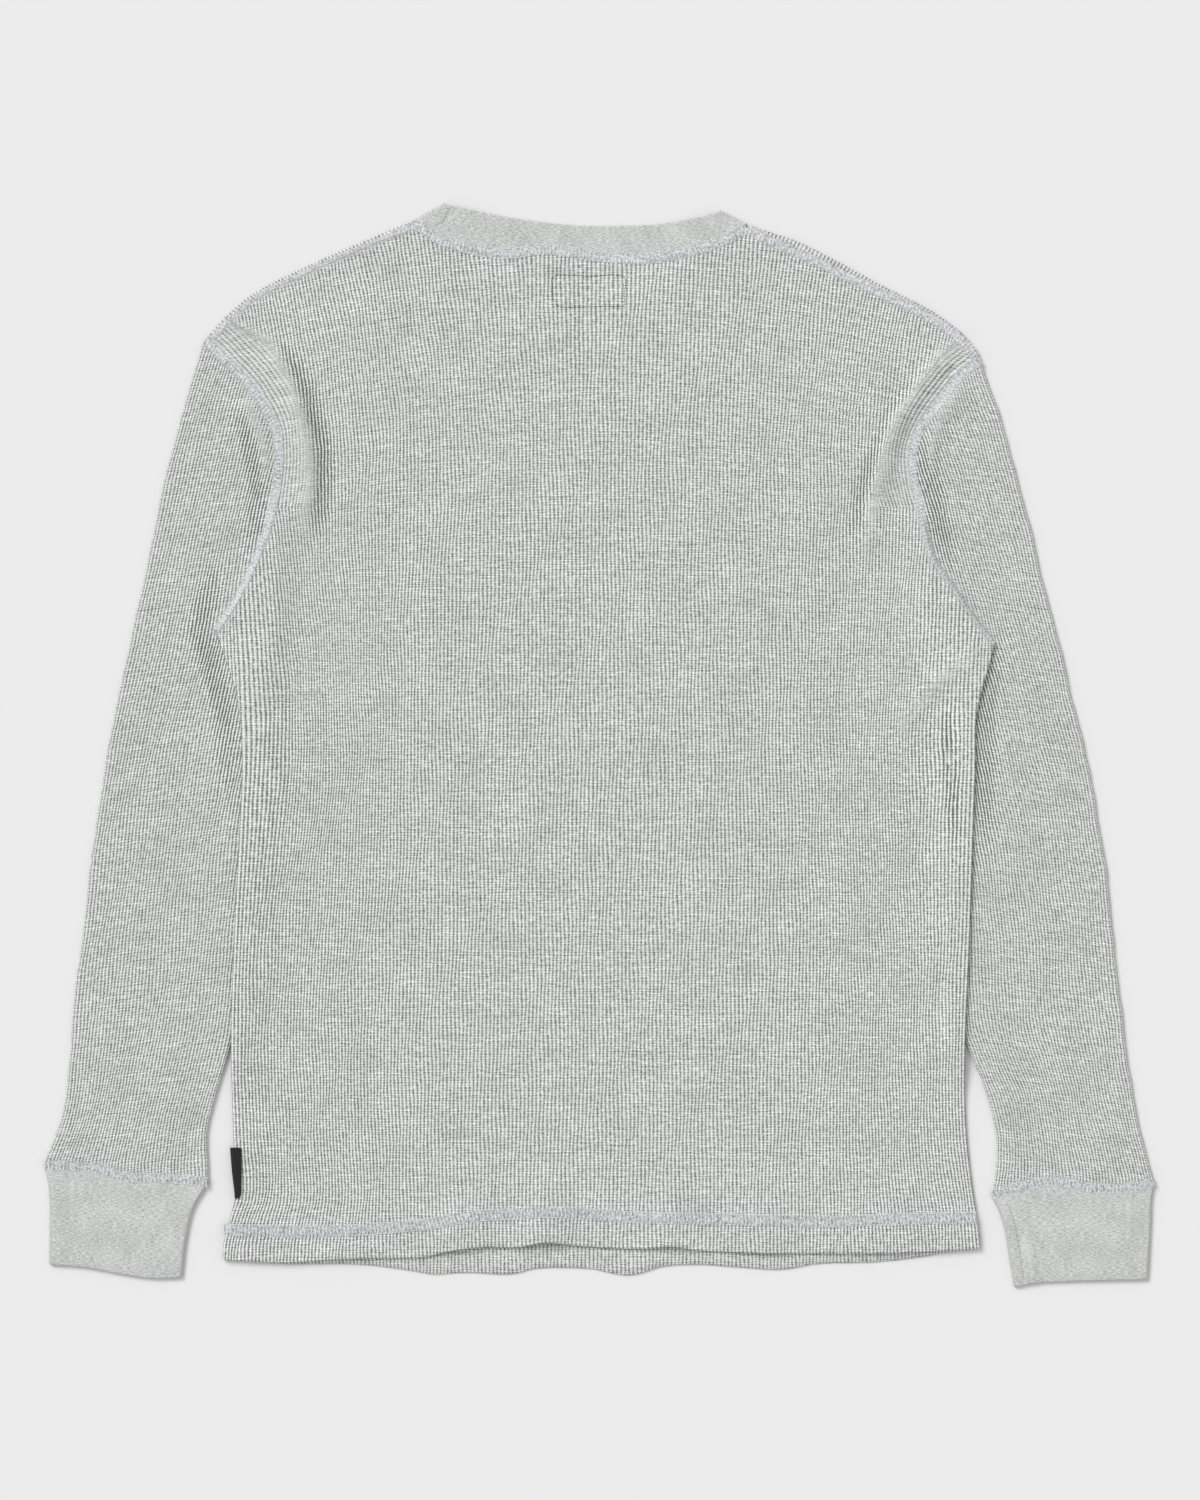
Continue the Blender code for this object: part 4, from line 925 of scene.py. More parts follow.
def make_front():
    """The front, whose shoulders turn over to meet the back's shoulder seams."""
    cloth, face, hidden, knit = make_panel(FRONT_HEM, front_neck, OUTER_BEND, front_bottom,
                                           front_wall, FLOOR_SEAMS, -1)
    first, last = neck_columns(chest_shares(), OUTER_BEND)
    neck, neck_panes = slice(first, last + 1), slice(first // PER_WALE, last // PER_WALE + 1)
    turned = []
    for side, columns, panes in (
            (LEFT, slice(0, first + 1), slice(0, first // PER_WALE + 1)),
            (RIGHT, slice(last, None), slice(last // PER_WALE, None))):
        wales = knit[columns, 0]
        fine = turn_over(side, wales, OUTER_BEND, FOLD_ANGLES, WRAP_SHARES)
        coarse = turn_over(side, wales[::PER_WALE], INNER_BEND,
                           FOLD_ANGLES[::PER_COARSE_ROW], WRAP_SHARES[2::3])
        across = grid(knit[columns, 0][None], knit[columns, 1][None] +
                      np.arange(len(fine))[:, None] * TURNED_COURSE)
        fine_numbers, coarse_numbers = cloth.lay(fine), cloth.lay(coarse)
        fine_numbers[0] = face[columns]
        coarse_numbers[0] = hidden[panes]
        cloth.weave(fine_numbers, across, -1)
        cloth.weave(coarse_numbers, across[::PER_COARSE_ROW, ::PER_WALE], 1)
        turned.append((fine_numbers, coarse_numbers, across))
    for fine, coarse, across in turned:
        for a, b, places, step in (
                (fine[:, -1], coarse[:, -1], across[:, -1], PER_COARSE_ROW),
                (fine[-1, ::-1], coarse[-1, ::-1], across[-1, ::-1], PER_WALE),
                (fine[::-1, 0], coarse[::-1, 0], across[::-1, 0], PER_COARSE_ROW)):
            cloth.close_edge(a, b, places, step, -1)
    cloth.close_edge(face[neck][::-1], hidden[neck_panes][::-1], knit[neck][::-1],
                     PER_WALE, -1)
    return cloth.piece("front_waffle", WAFFLE)


def turn_over(side, wales, radius, angles, wrap_shares):
    """Rows that carry the front's shoulder edge round a half bend and back over the top."""
    outline, wraps = shoulder_line(side, 0.0)[1:]
    shares = np.linspace(0, 1, len(wales))[::side.turn]
    points = at_shares(outline, shares)
    inward = at_shares(normals(outline, side.turn), shares)
    width = np.interp(shares, travelled(outline) / travelled(outline)[-1], wraps)[:, None]
    depth = RIB_DEPTH * groove(wales)[:, None] if radius == OUTER_BEND else 0.0
    bend = radius - depth
    rows = []
    for angle in angles:
        plan = points + inward * (OUTER_BEND - bend * np.sin(angle))
        rows.append(np.hstack((plan, np.broadcast_to(OUTER_BEND - bend * np.cos(angle),
                                                     (len(plan), 1)))))
    for share in wrap_shares:
        plan = points + inward * mix(OUTER_BEND, width, share)
        rows.append(np.hstack((plan, np.broadcast_to(OUTER_BEND + bend, (len(plan), 1)))))
    return np.array(rows)


# Sleeves ----------------------------------------------------------------------------------

SLEEVE_ROWS = np.linspace(0, 1, 100)
SLEEVE_LEVELS = 600        # at which the wales that have begun are counted
SLEEVE_LEAN = 7.0          # of its courses, in degrees
FIRST_SMOOTH = 5           # columns over which the wales' first points are evened
CORNER_WALES = 1.5         # about which they are drawn to the underarm corner
ARMHOLE_BLEND = 0.12       # share of the length over which they leave the armhole
CUFF_BLEND = (0.8, 0.2)    # where they begin to meet the cuff's seam, and over how much
EDGE_FADE = 8              # length over which the inner fold's roundness begins


def sleeve_bounds(side):
    """Fold lines, armhole and cuff seam of a sleeve, turned over to the left one's side."""
    turned = np.array((side.turn, 1.0))
    start = armhole_start(side)
    outer = smooth_path((start[0],) + side.sleeve_outer) * turned
    inner = smooth_path((start[-1],) + side.sleeve_inner) * turned
    outer[:, 0] += OUTER_BEND
    inner[:, 0] -= OUTER_BEND * smooth_step(travelled(inner) / EDGE_FADE)
    return outer, start * turned, inner, smooth_path(side.cuff_seam) * turned


def x_on(path, y):
    """Where a path that runs downwards is at a height."""
    return np.interp(y, path[::-1, 1], path[::-1, 0])


def smoothed(values, reach):
    """Values averaged with those up to reach places away, the nearer the more."""
    weights = np.hanning(2 * reach + 3)[1:-1]
    padded = np.pad(values, reach, mode="reflect", reflect_type="odd")
    return np.convolve(padded, weights / weights.sum(), "valid")


def sleeve_plan(side):
    """Points of one sleeve layer, columns along the wales, which the armhole cuts.

    Gives also the column at the sleeve's underarm corner.
    """
    outer, start, inner, cuff = sleeve_bounds(side)
    bound = np.vstack((start, inner[1:]))
    top = start[0, 1]

    def pitch(y):
        full = (x_on(bound, FULL_WIDTH) - x_on(outer, FULL_WIDTH)) / SLEEVE_WALES
        own = (x_on(bound, y) - x_on(outer, y)) / SLEEVE_WALES
        rise = smooth_step((y - FULL_WIDTH) / (top - FULL_WIDTH))
        return np.where(y > FULL_WIDTH, mix(full, SHOULDER_PITCH, rise), own)

    levels = np.linspace(top, FULL_WIDTH, SLEEVE_LEVELS)
    begun = (x_on(bound, levels) - x_on(outer, levels)) / pitch(levels)
    begun = np.maximum.accumulate(begun) + np.arange(SLEEVE_LEVELS) * 1e-9
    wales = np.arange(SLEEVE_WALES * PER_WALE + 1) / PER_WALE
    first = smoothed(np.interp(wales, begun, levels), FIRST_SMOOTH)
    corner = int(round(np.interp(-start[-1, 1], -levels, begun))) * PER_WALE
    drawn = np.exp(-((wales - wales[corner]) / CORNER_WALES) ** 2)
    first += (start[-1, 1] - first[corner]) * drawn
    width = np.linalg.norm(cuff[-1] - cuff[0])
    seam = at_shares(cuff, np.linspace(OUTER_BEND, width - OUTER_BEND, len(wales)) / width)
    share = SLEEVE_ROWS[:, None]
    y = mix(first[None], seam[None, :, 1], share)
    x = x_on(outer, y) + wales * pitch(y)
    x += (x_on(bound, first) - x[0]) * (1 - smooth_step(share / ARMHOLE_BLEND))
    x += (seam[:, 0] - x[-1]) * smooth_step((share - CUFF_BLEND[0]) / CUFF_BLEND[1])
    return np.stack((x * side.turn, y), axis=-1), corner


def bend(chain, out, top, bottom, columns):
    """Rows of points round a folded edge, from the top layer down to the bottom one.

    chain is the fold's middle line, and top and bottom are the layers' levels along it.
    """
    angles = np.linspace(0, np.pi, columns)
    middle, radius = (top + bottom) / 2, (top - bottom) / 2
    plan = chain[:, None] + out[:, None] * (radius[:, None] * np.sin(angles))[..., None]
    return np.dstack((plan, middle[:, None] + radius[:, None] * np.cos(angles)))


def make_sleeve(side):
    plan, corner = sleeve_plan(side)
    plan[..., 0] += stray(plan)
    wales = np.arange(plan.shape[1]) / PER_WALE
    slant = np.radians(SLEEVE_LEAN) * side.turn
    course = (plan[..., 1] * np.cos(slant) - plan[..., 0] * np.sin(slant)) / SLEEVE_COURSE
    coarse = plan[::PER_COARSE_ROW, ::PER_WALE]
    cloth = Cloth()
    layers = []
    for seams, ridges, gathers, upside in (
            (TOP_SEAMS, side.ridges[1:], side.gathers[1:], 1), (FLOOR_SEAMS, (), (), -1)):
        strength = rib_strength(plan, seams, ridges, gathers)
        if upside > 0:
            level, under, places = sleeve_top(side, plan), sleeve_top(side, coarse) - WALL, wales
        else:
            level, under = SEAM_SINK * (1 - strength), np.full(coarse.shape[:-1], WALL)
            places = -BEND_WALES - wales
        level = level - upside * RIB_DEPTH * groove(wales) * np.minimum(strength, DEEPEST)
        knit = grid(places[None], course)
        face = cloth.lay(np.dstack((plan, level)), strength)
        hidden = cloth.lay(np.dstack((coarse, under)))
        cloth.weave(face, knit, -upside * side.turn)
        cloth.weave(hidden, knit[::PER_COARSE_ROW, ::PER_WALE], upside * side.turn)
        layers.append((face, hidden, knit, level, under))
    (top, top_hidden, top_knit, top_level, top_under), (
        low, low_hidden, low_knit, low_level, low_under) = layers

    def fold(fine, hidden, chain, chain_hidden, first_wale, direction):
        """Points and wales of a folded edge, of the face side and then of the hidden one."""
        made = []
        for numbers, path, step, upper, lower in (
                (fine, chain, 1, top_level, low_level),
                (hidden, chain_hidden, PER_WALE, top_under, low_under)):
            count = BEND_WALES * PER_WALE // step + 1
            out = -normals(path, direction * side.turn)
            points = bend(path, out, upper.ravel()[numbers], lower.ravel()[numbers], count)
            u = first_wale + direction * np.arange(count) * step / PER_WALE
            if step == 1:
                points[..., :2] -= (out * RIB_DEPTH)[:, None] * (
                    groove(u) * np.sin(np.linspace(0, np.pi, count)))[None, :, None]
            made.append((points, u))
        return made

    rows, columns = plan.shape[:2]
    fine_index = np.arange(rows * columns).reshape(rows, columns)
    hidden_index = np.arange(coarse[..., 0].size).reshape(coarse.shape[:-1])
    folds = []
    for direction, pick, pick_hidden in (
            (-1, fine_index[:, 0], hidden_index[:, 0]),
            (1, np.concatenate((fine_index[0, corner:], fine_index[1:, -1])),
             np.concatenate((hidden_index[0, corner // PER_WALE:], hidden_index[1:, -1])))):
        first_wale = 0.0 if direction < 0 else float(SLEEVE_WALES)
        made = fold(pick, pick_hidden, plan.reshape(-1, 2)[pick],
                    coarse.reshape(-1, 2)[pick_hidden], first_wale, direction)
        numbered = []
        for (points, u), upper, lower, chosen, turn in (
                (made[0], top, low, pick, 1), (made[1], top_hidden, low_hidden, pick_hidden, -1)):
            inside = cloth.lay(points[:, 1:-1])
            numbers = np.hstack((upper.ravel()[chosen][:, None], inside,
                                 lower.ravel()[chosen][:, None]))
            v = course if turn > 0 else course[::PER_COARSE_ROW, ::PER_WALE]
            knit = grid(u[None], v.ravel()[chosen][:, None])
            cloth.weave(numbers, knit, -direction * turn * side.turn)
            numbered.append((numbers, knit))
        folds.append(numbered)
    (outer_fold, outer_hidden), (inner_fold, inner_hidden) = folds
    # cut edges: the armhole and the cuff seam, each once round the tube
    for row, end, pane_end in ((0, corner + 1, corner // PER_WALE + 1), (-1, None, None)):
        chains = ((top[row, :end], inner_fold[0][row], low[row, :end], outer_fold[0][row]),
                  (top_hidden[row, :pane_end], inner_hidden[0][row],
                   low_hidden[row, :pane_end], outer_hidden[0][row]),
                  (top_knit[row, :end], inner_fold[1][row], low_knit[row, :end],
                   outer_fold[1][row]))
        loops = [np.concatenate((over, inward[1:], under[::-1][1:], outward[::-1][1:]))
                 for over, inward, under, outward in chains]
        cloth.close_edge(*loops, PER_WALE, side.turn if row else -side.turn)
    return cloth.piece("sleeve_waffle_" + side.name, WAFFLE)


# Cuffs and neckband -----------------------------------------------------------------------

SECTION_STEPS = 200        # points across a cuff from which its columns are spaced
CUFF_COLUMNS = 48
CUFF_STEP = 2.4            # from one column of a cuff to the next
BAND_ROWS = 14
BAND_COLUMNS = 73          # of the neckband, over the back and again under the front
LEVEL_FACING = 0.99        # least upward share of a facing that lies flat


def doubled_profile(length):
    """Share along and distance from the middle of the wall, out and back over a folded edge."""
    half = WALL / 2
    turn = 1 - half / length * (1 - np.sin(FOLD_ANGLES))
    out = np.linspace(0, turn[0], BAND_ROWS)[:-1]
    back = np.linspace(turn[-1], 0, BAND_ROWS // 2)[1:]
    offsets = np.concatenate((np.full(len(out), half), half * np.cos(FOLD_ANGLES),
                              np.full(len(back), -half)))
    return np.concatenate((out, turn, back)), offsets


def ring_of_cloth(points, knit, name, finish, turn):
    """A piece whose points run round in both directions: over its edge and round the ring."""
    cloth = Cloth()
    numbers = cloth.lay(points)
    numbers = np.vstack((numbers, numbers[:1]))
    numbers = np.hstack((numbers, numbers[:, :1]))
    knit = np.concatenate((knit, knit[:1] + (knit[-1:] - knit[-2:-1])), axis=0)
    knit = np.concatenate((knit, knit[:, -1:] + (knit[:, -1:] - knit[:, -2:-1])), axis=1)
    cloth.weave(numbers, knit, turn)
    return cloth.piece(name, finish)


def make_cuff(side):
    """Doubled jersey band, sewn to the sleeve and folded back at the wrist."""
    dense = np.linspace(0, 1, SECTION_STEPS)
    start = at_shares(smooth_path(side.cuff_seam), dense) - (0, SEAM_GAP)
    opening = at_shares(smooth_path(side.cuff_opening), dense)
    outer = smooth_path((start[0],) + side.cuff_outer)
    inner = smooth_path((start[-1],) + side.cuff_inner)
    length = travelled(outer)[-1]
    shares, offsets = doubled_profile(length)
    rings = []
    for share, offset in zip(shares, offsets):
        left, right = at_shares(outer, [share])[0], at_shares(inner, [share])[0]
        section = mix(left, right, dense[:, None])
        section += (1 - share) * bowed(start, dense) + share * bowed(opening, dense)
        rings.append(flat_ring(section, MIDDLE_BEND + offset))
    points = settled(np.array(rings), CUFF_CREASES)
    run = np.linspace(0, 2 * CUFF_COLUMNS * CUFF_STEP, points.shape[1])
    along = np.cumsum(np.abs(np.diff(shares, prepend=0))) * length
    knit = grid(run[None], along[:, None]) / JERSEY_WALE
    return ring_of_cloth(points, knit, "cuff_jersey_" + side.name, JERSEY, -side.turn)


def flat_ring(section, radius):
    """Points round a tube that is pressed flat along a section, from its outer fold."""
    run = travelled(section)
    first, last = OUTER_BEND / run[-1], 1 - OUTER_BEND / run[-1]
    flat = at_shares(section, np.linspace(first, last, CUFF_COLUMNS + 1))
    ends = []
    for centre, out in ((flat[-1], section[-1] - flat[-1]), (flat[0], section[0] - flat[0])):
        out = out / np.linalg.norm(out)
        ends.append(centre + out * (radius * np.sin(ROUND_ANGLES))[:, None])
    plan = np.vstack((flat, ends[0], flat[::-1], ends[1][::-1]))
    rise = radius * np.cos(ROUND_ANGLES)
    level = OUTER_BEND + np.concatenate((np.full(len(flat), radius), rise,
                                         np.full(len(flat), -radius), rise[::-1]))
    return np.column_stack((plan, level))


def settled(points, creases):
    """A band's points, creased on top and off the floor where stitching lies under them."""
    for crease in creases:
        on_top = points[..., 2] > OUTER_BEND
        points[..., 2] += ridge_height(points[..., :2], crease) * on_top
    room = SEAM_SINK * (1 - rib_strength(points[..., :2], FLOOR_SEAMS))
    points[..., 2] = np.maximum(points[..., 2], room * (points[..., 2] < OUTER_BEND))
    return points


def turnover(side, tip):
    """Seam end and free end of the line over which the neckband turns, and its way out."""
    outline = shoulder_line(side, 0.0)[1]
    inward = normals(outline, side.turn)[-1]
    along = outline[-1] - outline[-2]
    along /= np.linalg.norm(along)
    seam_end = outline[-1] + along * 2 * SEAM_GAP + inward * OUTER_BEND
    rim = np.array(tip) - (seam_end - inward * OUTER_BEND)
    rim /= np.linalg.norm(rim)
    out = -side.turn * np.array((rim[1], -rim[0]))
    return seam_end, np.array(tip) - out * OUTER_BEND, out


def tip_stations(seam, free, out, angles):
    """Lines across the neckband round one of its tips, with their level and their facing."""
    for angle in angles:
        shift = out * MIDDLE_BEND * np.sin(angle)
        facing = np.append(out * np.sin(angle), np.cos(angle))
        yield seam + shift, free + shift, OUTER_BEND + MIDDLE_BEND * np.cos(angle), facing


def make_neckband():
    """Doubled jersey ring: over the back, round its two tips and under the front."""
    shares = np.linspace(0, 1, BAND_COLUMNS)
    left_seam, left_free, left_out = turnover(LEFT, LEFT_TIP)
    right_seam, right_free, right_out = turnover(RIGHT, RIGHT_TIP)
    back_seam = back_neck(shoulder_line(LEFT, None)[0][-1], shoulder_line(RIGHT, None)[0][-1],
                          shares) + (0, SEAM_GAP)
    back_seam[0], back_seam[-1] = left_seam, right_seam
    back_free = at_shares(smooth_path((left_free,) + FREE_EDGE + (right_free,)), shares)
    front_seam = bowl(left_seam, right_seam, FRONT_NECK_DEPTH - 2 * SEAM_GAP, shares)
    drop = FRONT_NECK_DEPTH - NECKBAND_HEIGHT + left_free[1] - left_seam[1]
    front_free = bowl(left_free, right_free, drop, shares)
    up = np.array((0.0, 0.0, 1.0))
    stations = [*((s, f, OUTER_BEND + MIDDLE_BEND, up) for s, f in zip(back_seam, back_free)),
                *tip_stations(right_seam, right_free, right_out, ROUND_ANGLES),
                *((s, f, OUTER_BEND - MIDDLE_BEND, -up)
                  for s, f in zip(front_seam[::-1], front_free[::-1])),
                *tip_stations(left_seam, left_free, left_out, ROUND_ANGLES[::-1])]
    profile, offsets = doubled_profile(NECKBAND_HEIGHT)
    columns = []
    for seam, free, level, facing in stations:
        line = mix(seam, free, profile[:, None])
        height = level - neck_sag(line) * (facing[2] > LEVEL_FACING)
        columns.append(np.column_stack((line, height)) + offsets[:, None] * facing)
    points = settled(np.swapaxes(np.array(columns), 0, 1), BAND_CREASES)
    run = travelled(points[0])
    along = np.cumsum(np.abs(np.diff(profile, prepend=0))) * NECKBAND_HEIGHT
    knit = grid(run[None], along[:, None]) / JERSEY_WALE
    return ring_of_cloth(points, knit, "neckband_jersey", JERSEY, 1)


# Seam lines -------------------------------------------------------------------------------

HEM_LINE = ((-256.0, -329.5), (-252.9, -329.6), (-206.0, -331.0), (-174.0, -330.3),
            (-141.4, -328.3), (-114.9, -325.6), (-89.0, -320.8), (-67.3, -319.4), (-36.0, -317.7),
            (-4.0, -319.4), (28.6, -321.5), (68.1, -322.2), (121.1, -323.5), (160.5, -324.2),
            (199.3, -322.5), (256.0, -321.8))
BODY_BEGINS = -2.6         # where the armhole's stitching leaves the sleeve's level
BODY_GROWS = 3.6           # width over which it rises to the body's
LEAN_FADE = 0.1            # share of the shoulder over which its stitching begins to lean
NECK_STEPS = 120           # points along the front neck's stitching
HEM_BAND = 1.2             # widths of the hem's and the neck's stitching, as shares
NECK_BAND = 1.12
# How far short of its path's two ends each kind of stitching stays
ENDS = {"hem_back": (1.0, 1.0), "neck_front": (6, 6), "hem_front": (4, 4),
        "shoulder": (4.5, 0.8), "armhole": (2.0, 1.4), "armhole_under": (4, 4),
        "cuff": (1.6, 1.6), "cuff_under": (3, 3)}
# Its widths are shares of the usual width, at shares of the seam's length
Seam = namedtuple("Seam", "name path level upside widths")


def neck_line():
    left, right = (shoulder_line(side, None)[0][-1] for side in (LEFT, RIGHT))
    return smooth_path((left,) + BACK_NECK + (right,))


def front_neck_line():
    left, right = (shoulder_line(side, OUTER_BEND)[0][-1] for side in (LEFT, RIGHT))
    return bowl(left, right, FRONT_NECK_DEPTH - SEAM_GAP, np.linspace(0, 1, NECK_STEPS))


def front_hem_line():
    return smooth_path(FRONT_HEM) + (0, HEM_DEPTH)


def inside_of(path, turn, plan):
    """How far plan points lie on a path's inner side."""
    nearest = np.linalg.norm(plan[..., None, :] - path[::3], axis=-1).argmin(axis=-1)
    return np.sum((plan - path[::3][nearest]) * normals(path, turn)[::3][nearest], axis=-1)


def armhole_level(side):
    """Level over the armhole: the sleeve's on one side of the seam, the body's on the other."""
    path = smooth_path(side.armhole)
    outer = sleeve_bounds(side)[0]

    def level(plan):
        past = inside_of(path, side.turn, plan)
        body = smooth_step((past - BODY_BEGINS) / BODY_GROWS)
        edge = side.turn * plan[..., 0] - (x_on(outer, plan[..., 1]) - OUTER_BEND)
        sleeve = sleeve_top(side, plan) - rounded(edge, EDGE_ROUND)
        return mix(sleeve, back_top(plan), body)
    return level


def shoulder_level(side):
    outline = shoulder_line(side, 0.0)[1]

    def level(plan):
        return back_top(plan) - rounded(inside_of(outline, side.turn, plan), EDGE_ROUND)
    return level


def cuff_level(side):
    """Level over a cuff's seam, rounded down at the sleeve's two folds."""
    path = smooth_path(side.cuff_seam)
    low, high = sorted((path[0, 0], path[-1, 0]))

    def level(plan):
        x = plan[..., 0]
        return FLAT_TUBE - rounded(np.minimum(x - low, high - x), EDGE_ROUND)
    return level


def cuff_join_level(plan):
    return raised(FLAT_TUBE, plan, CUFF_CREASES)


def floor_level(plan):
    return np.zeros(plan.shape[:-1])


def side_level(plan):
    """The back's level, rounded down at the side seams."""
    return back_top(plan) - rounded(side_inset(plan), EDGE_ROUND)


def shoulder_seam(side):
    """Middle of the shoulder's stitching, which leans to the back but for its neck end."""
    path = shoulder_line(side, None)[0]
    share = travelled(path) / travelled(path)[-1]
    lean = (side.stitching_lean * smooth_step(share / LEAN_FADE)
            * smooth_step((1 - share) / LEAN_FADE))
    return path + normals(path, side.turn) * lean[:, None]


def shortened(path, first, last):
    """A path without its first and last millimetres."""
    length = travelled(path)[-1]
    return at_shares(path, np.linspace(first / length, 1 - last / length, len(path)))


def even(width):
    """A band's width where it is the same from end to end."""
    return (0.0, width), (1.0, width)


def side_seams(side):
    """The seams of one side, from the neck to the wrist."""
    kinds = (("shoulder", shoulder_seam(side), shoulder_level(side), 1, side.shoulder_widths),
             ("armhole", smooth_path(side.armhole), armhole_level(side), 1, side.widths),
             ("armhole_under", armhole_start(side), floor_level, -1, even(1.0)),
             ("cuff", smooth_path(side.cuff_seam), cuff_level(side), 1, even(1.0)),
             ("cuff_under", smooth_path(side.cuff_seam), floor_level, -1, even(1.0)))
    return [Seam(kind + "_" + side.name, shortened(path, *ENDS[kind]), level, upside, widths)
            for kind, path, level, upside, widths in kinds]


SEAMS = [Seam("hem_back", shortened(smooth_path(HEM_LINE), *ENDS["hem_back"]), side_level, 1,
              even(HEM_BAND)),
         Seam("neck_back", neck_line(), back_top, 1, even(NECK_BAND)),
         Seam("neck_front", shortened(front_neck_line(), *ENDS["neck_front"]), floor_level, -1,
              even(1.0)),
         Seam("hem_front", shortened(front_hem_line(), *ENDS["hem_front"]), front_bottom, -1,
              even(1.0)),
         *side_seams(LEFT), *side_seams(RIGHT)]
TOP_SEAMS = [seam.path for seam in SEAMS if seam.upside > 0]
FLOOR_SEAMS = [seam.path for seam in SEAMS if seam.upside < 0]


# Stitching --------------------------------------------------------------------------------

BAND_STEP = 2.2            # length of a band's faces
BAND_WIDTH = 5.4
BAND_OFFSETS = np.array((-1, -0.85, -0.5, -0.17, 0.17, 0.5, 0.85, 1)) * BAND_WIDTH / 2
BAND_PROUD = np.array((-0.15, 0.1, 0.2, 0.2, 0.2, 0.2, 0.1, -0.15))
BAND_THICK = 0.35
STITCH_WIDTH = 6.6
STITCH_PITCH = 2.5         # from one stitch to the next; each crosses the seam and comes back
THREAD = 0.27              # radius of the covering thread
CROSSING = np.linspace(-1, 1, 6)           # places of a stitch's points across the seam
STITCH_SPLAY = 0.25        # how far a stitch slides along the seam, as a share of the pitch
STITCH_BULGE = 0.25        # how far its middle bulges
BULGE_SPREAD = 0.4         # and how unevenly, as a share
WANDER = 0.22              # how far stitches stray along the seam
REACH_SPREAD = 0.05        # how unevenly they reach across it, as a share
STITCH_DIP = 0.35          # how far their ends are drawn in
EDGE_STITCHES = np.array((-0.3, 0.3)) * STITCH_PITCH
EDGE_STITCH_INSET = 0.5
STITCH_RISES = (0.22, 0.34, 0.40, 0.40)    # of both zigzags and both rows at the edges
RUNNING_PITCH = 1.9        # of the plain stitches round the mark and across the two joins
RUNNING_THREAD = 0.28
RUNNING_RISE = 0.02
RUNNING_PLACES = np.array((0.08, 0.3, 0.64, 0.86))     # of a stitch's corners in its pitch
RUNNING_LEVELS = np.array((-0.5, 0.0, 0.0, -0.5)) + RUNNING_RISE
# Stitched rectangle at the middle of the back's neck, with one rounded corner
MARK = ((17.1, 297.6), (17.3, 307.0), (17.1, 317.6), (-6.0, 317.9), (-31.0, 317.7),
        (-31.4, 308.0), (-31.0, 302.0), (-27.0, 297.6), (-5.0, 297.2), (17.1, 297.6))
# Where the neckband's ring and the right cuff's are joined
JOIN = ((-100.9, 364.3), (-104.0, 359.4), (-106.7, 353.7))
CUFF_JOIN = ((277.5, -312.0), (281.5, -322.0), (285.6, -343.0), (288.8, -364.5))


def evenly(path, pitch):
    """The path at nearly even steps of a pitch."""
    count = max(2, int(round(travelled(path)[-1] / pitch)))
    return at_shares(path, np.linspace(0, 1, count + 1))


def width_along(seam, centres):
    shares, widths = np.array(seam.widths).T
    run = travelled(centres)
    return np.interp(run / run[-1], shares, widths)


def rim(numbers):
    """The outermost places of a grid, once round and back to the first."""
    return np.concatenate((numbers[0], numbers[1:, -1], numbers[-1, -2::-1],
                           numbers[-2::-1, 0]))


def make_band(seam):
    """The flat layer of threads that covers a seam."""
    centres = evenly(seam.path, BAND_STEP)
    offsets = BAND_OFFSETS * width_along(seam, centres)[:, None]
    plan = centres[:, None] + normals(centres, 1)[:, None] * offsets[..., None]
    proud = BAND_PROUD if seam.upside > 0 else BAND_PROUD - SEAM_SINK + FLOOR_CLEAR
    face = seam.level(plan) + seam.upside * proud
    hidden = face - seam.upside * BAND_THICK
    cloth = Cloth()
    run = travelled(centres)
    knit = grid(BAND_OFFSETS[None], run[:, None])
    upper, lower = cloth.lay(np.dstack((plan, face))), cloth.lay(np.dstack((plan, hidden)))
    cloth.weave(upper, knit, -seam.upside)
    cloth.weave(lower, knit, seam.upside)
    cloth.close_edge(rim(upper), rim(lower), rim(knit), 1, -seam.upside)
    return cloth.piece(seam.name + "_tape", TAPES.get(seam.name.split("_")[0], SEAM_TAPE))


def stitch_lines(seam, rng):
    """Threads that zigzag across a seam and short ones along its two edges, as polylines."""
    centres = evenly(seam.path, STITCH_PITCH)
    count = len(centres)
    along = np.gradient(centres, axis=0)
    along /= np.linalg.norm(along, axis=1, keepdims=True)
    square = normals(centres, 1)
    half = STITCH_WIDTH / 2 * width_along(seam, centres)
    lines = []
    for way in (-1, 1):
        wander = rng.normal(0, WANDER, (count, 2))
        reach = half * (1 + rng.normal(0, REACH_SPREAD, count))
        bulge = np.sin(np.pi * CROSSING)[None] * rng.normal(1, BULGE_SPREAD, (count, 1))
        slide = (CROSSING[None] * way * STITCH_PITCH * STITCH_SPLAY + wander[:, :1]
                 + wander[:, 1:] * CROSSING[None] + STITCH_BULGE * bulge)
        across = square[:, None] * (CROSSING[None] * reach[:, None])[..., None]
        lines.append(centres[:, None] + across + along[:, None] * slide[..., None])
    for edge in (-1, 1):
        across = (square * edge * (half - EDGE_STITCH_INSET)[:, None])[:, None]
        lines.append(centres[:, None] + across + along[:, None] * EDGE_STITCHES[None, :, None])
    solid = []
    for plan, rise in zip(lines, STITCH_RISES):
        if seam.upside < 0:
            rise -= SEAM_SINK - FLOOR_CLEAR
        inset = rise * np.ones(plan.shape[1])
        if plan.shape[1] > 2:
            inset[[0, -1]] -= STITCH_DIP
        solid.append(np.dstack((plan, seam.level(plan) + seam.upside * inset)))
    return solid


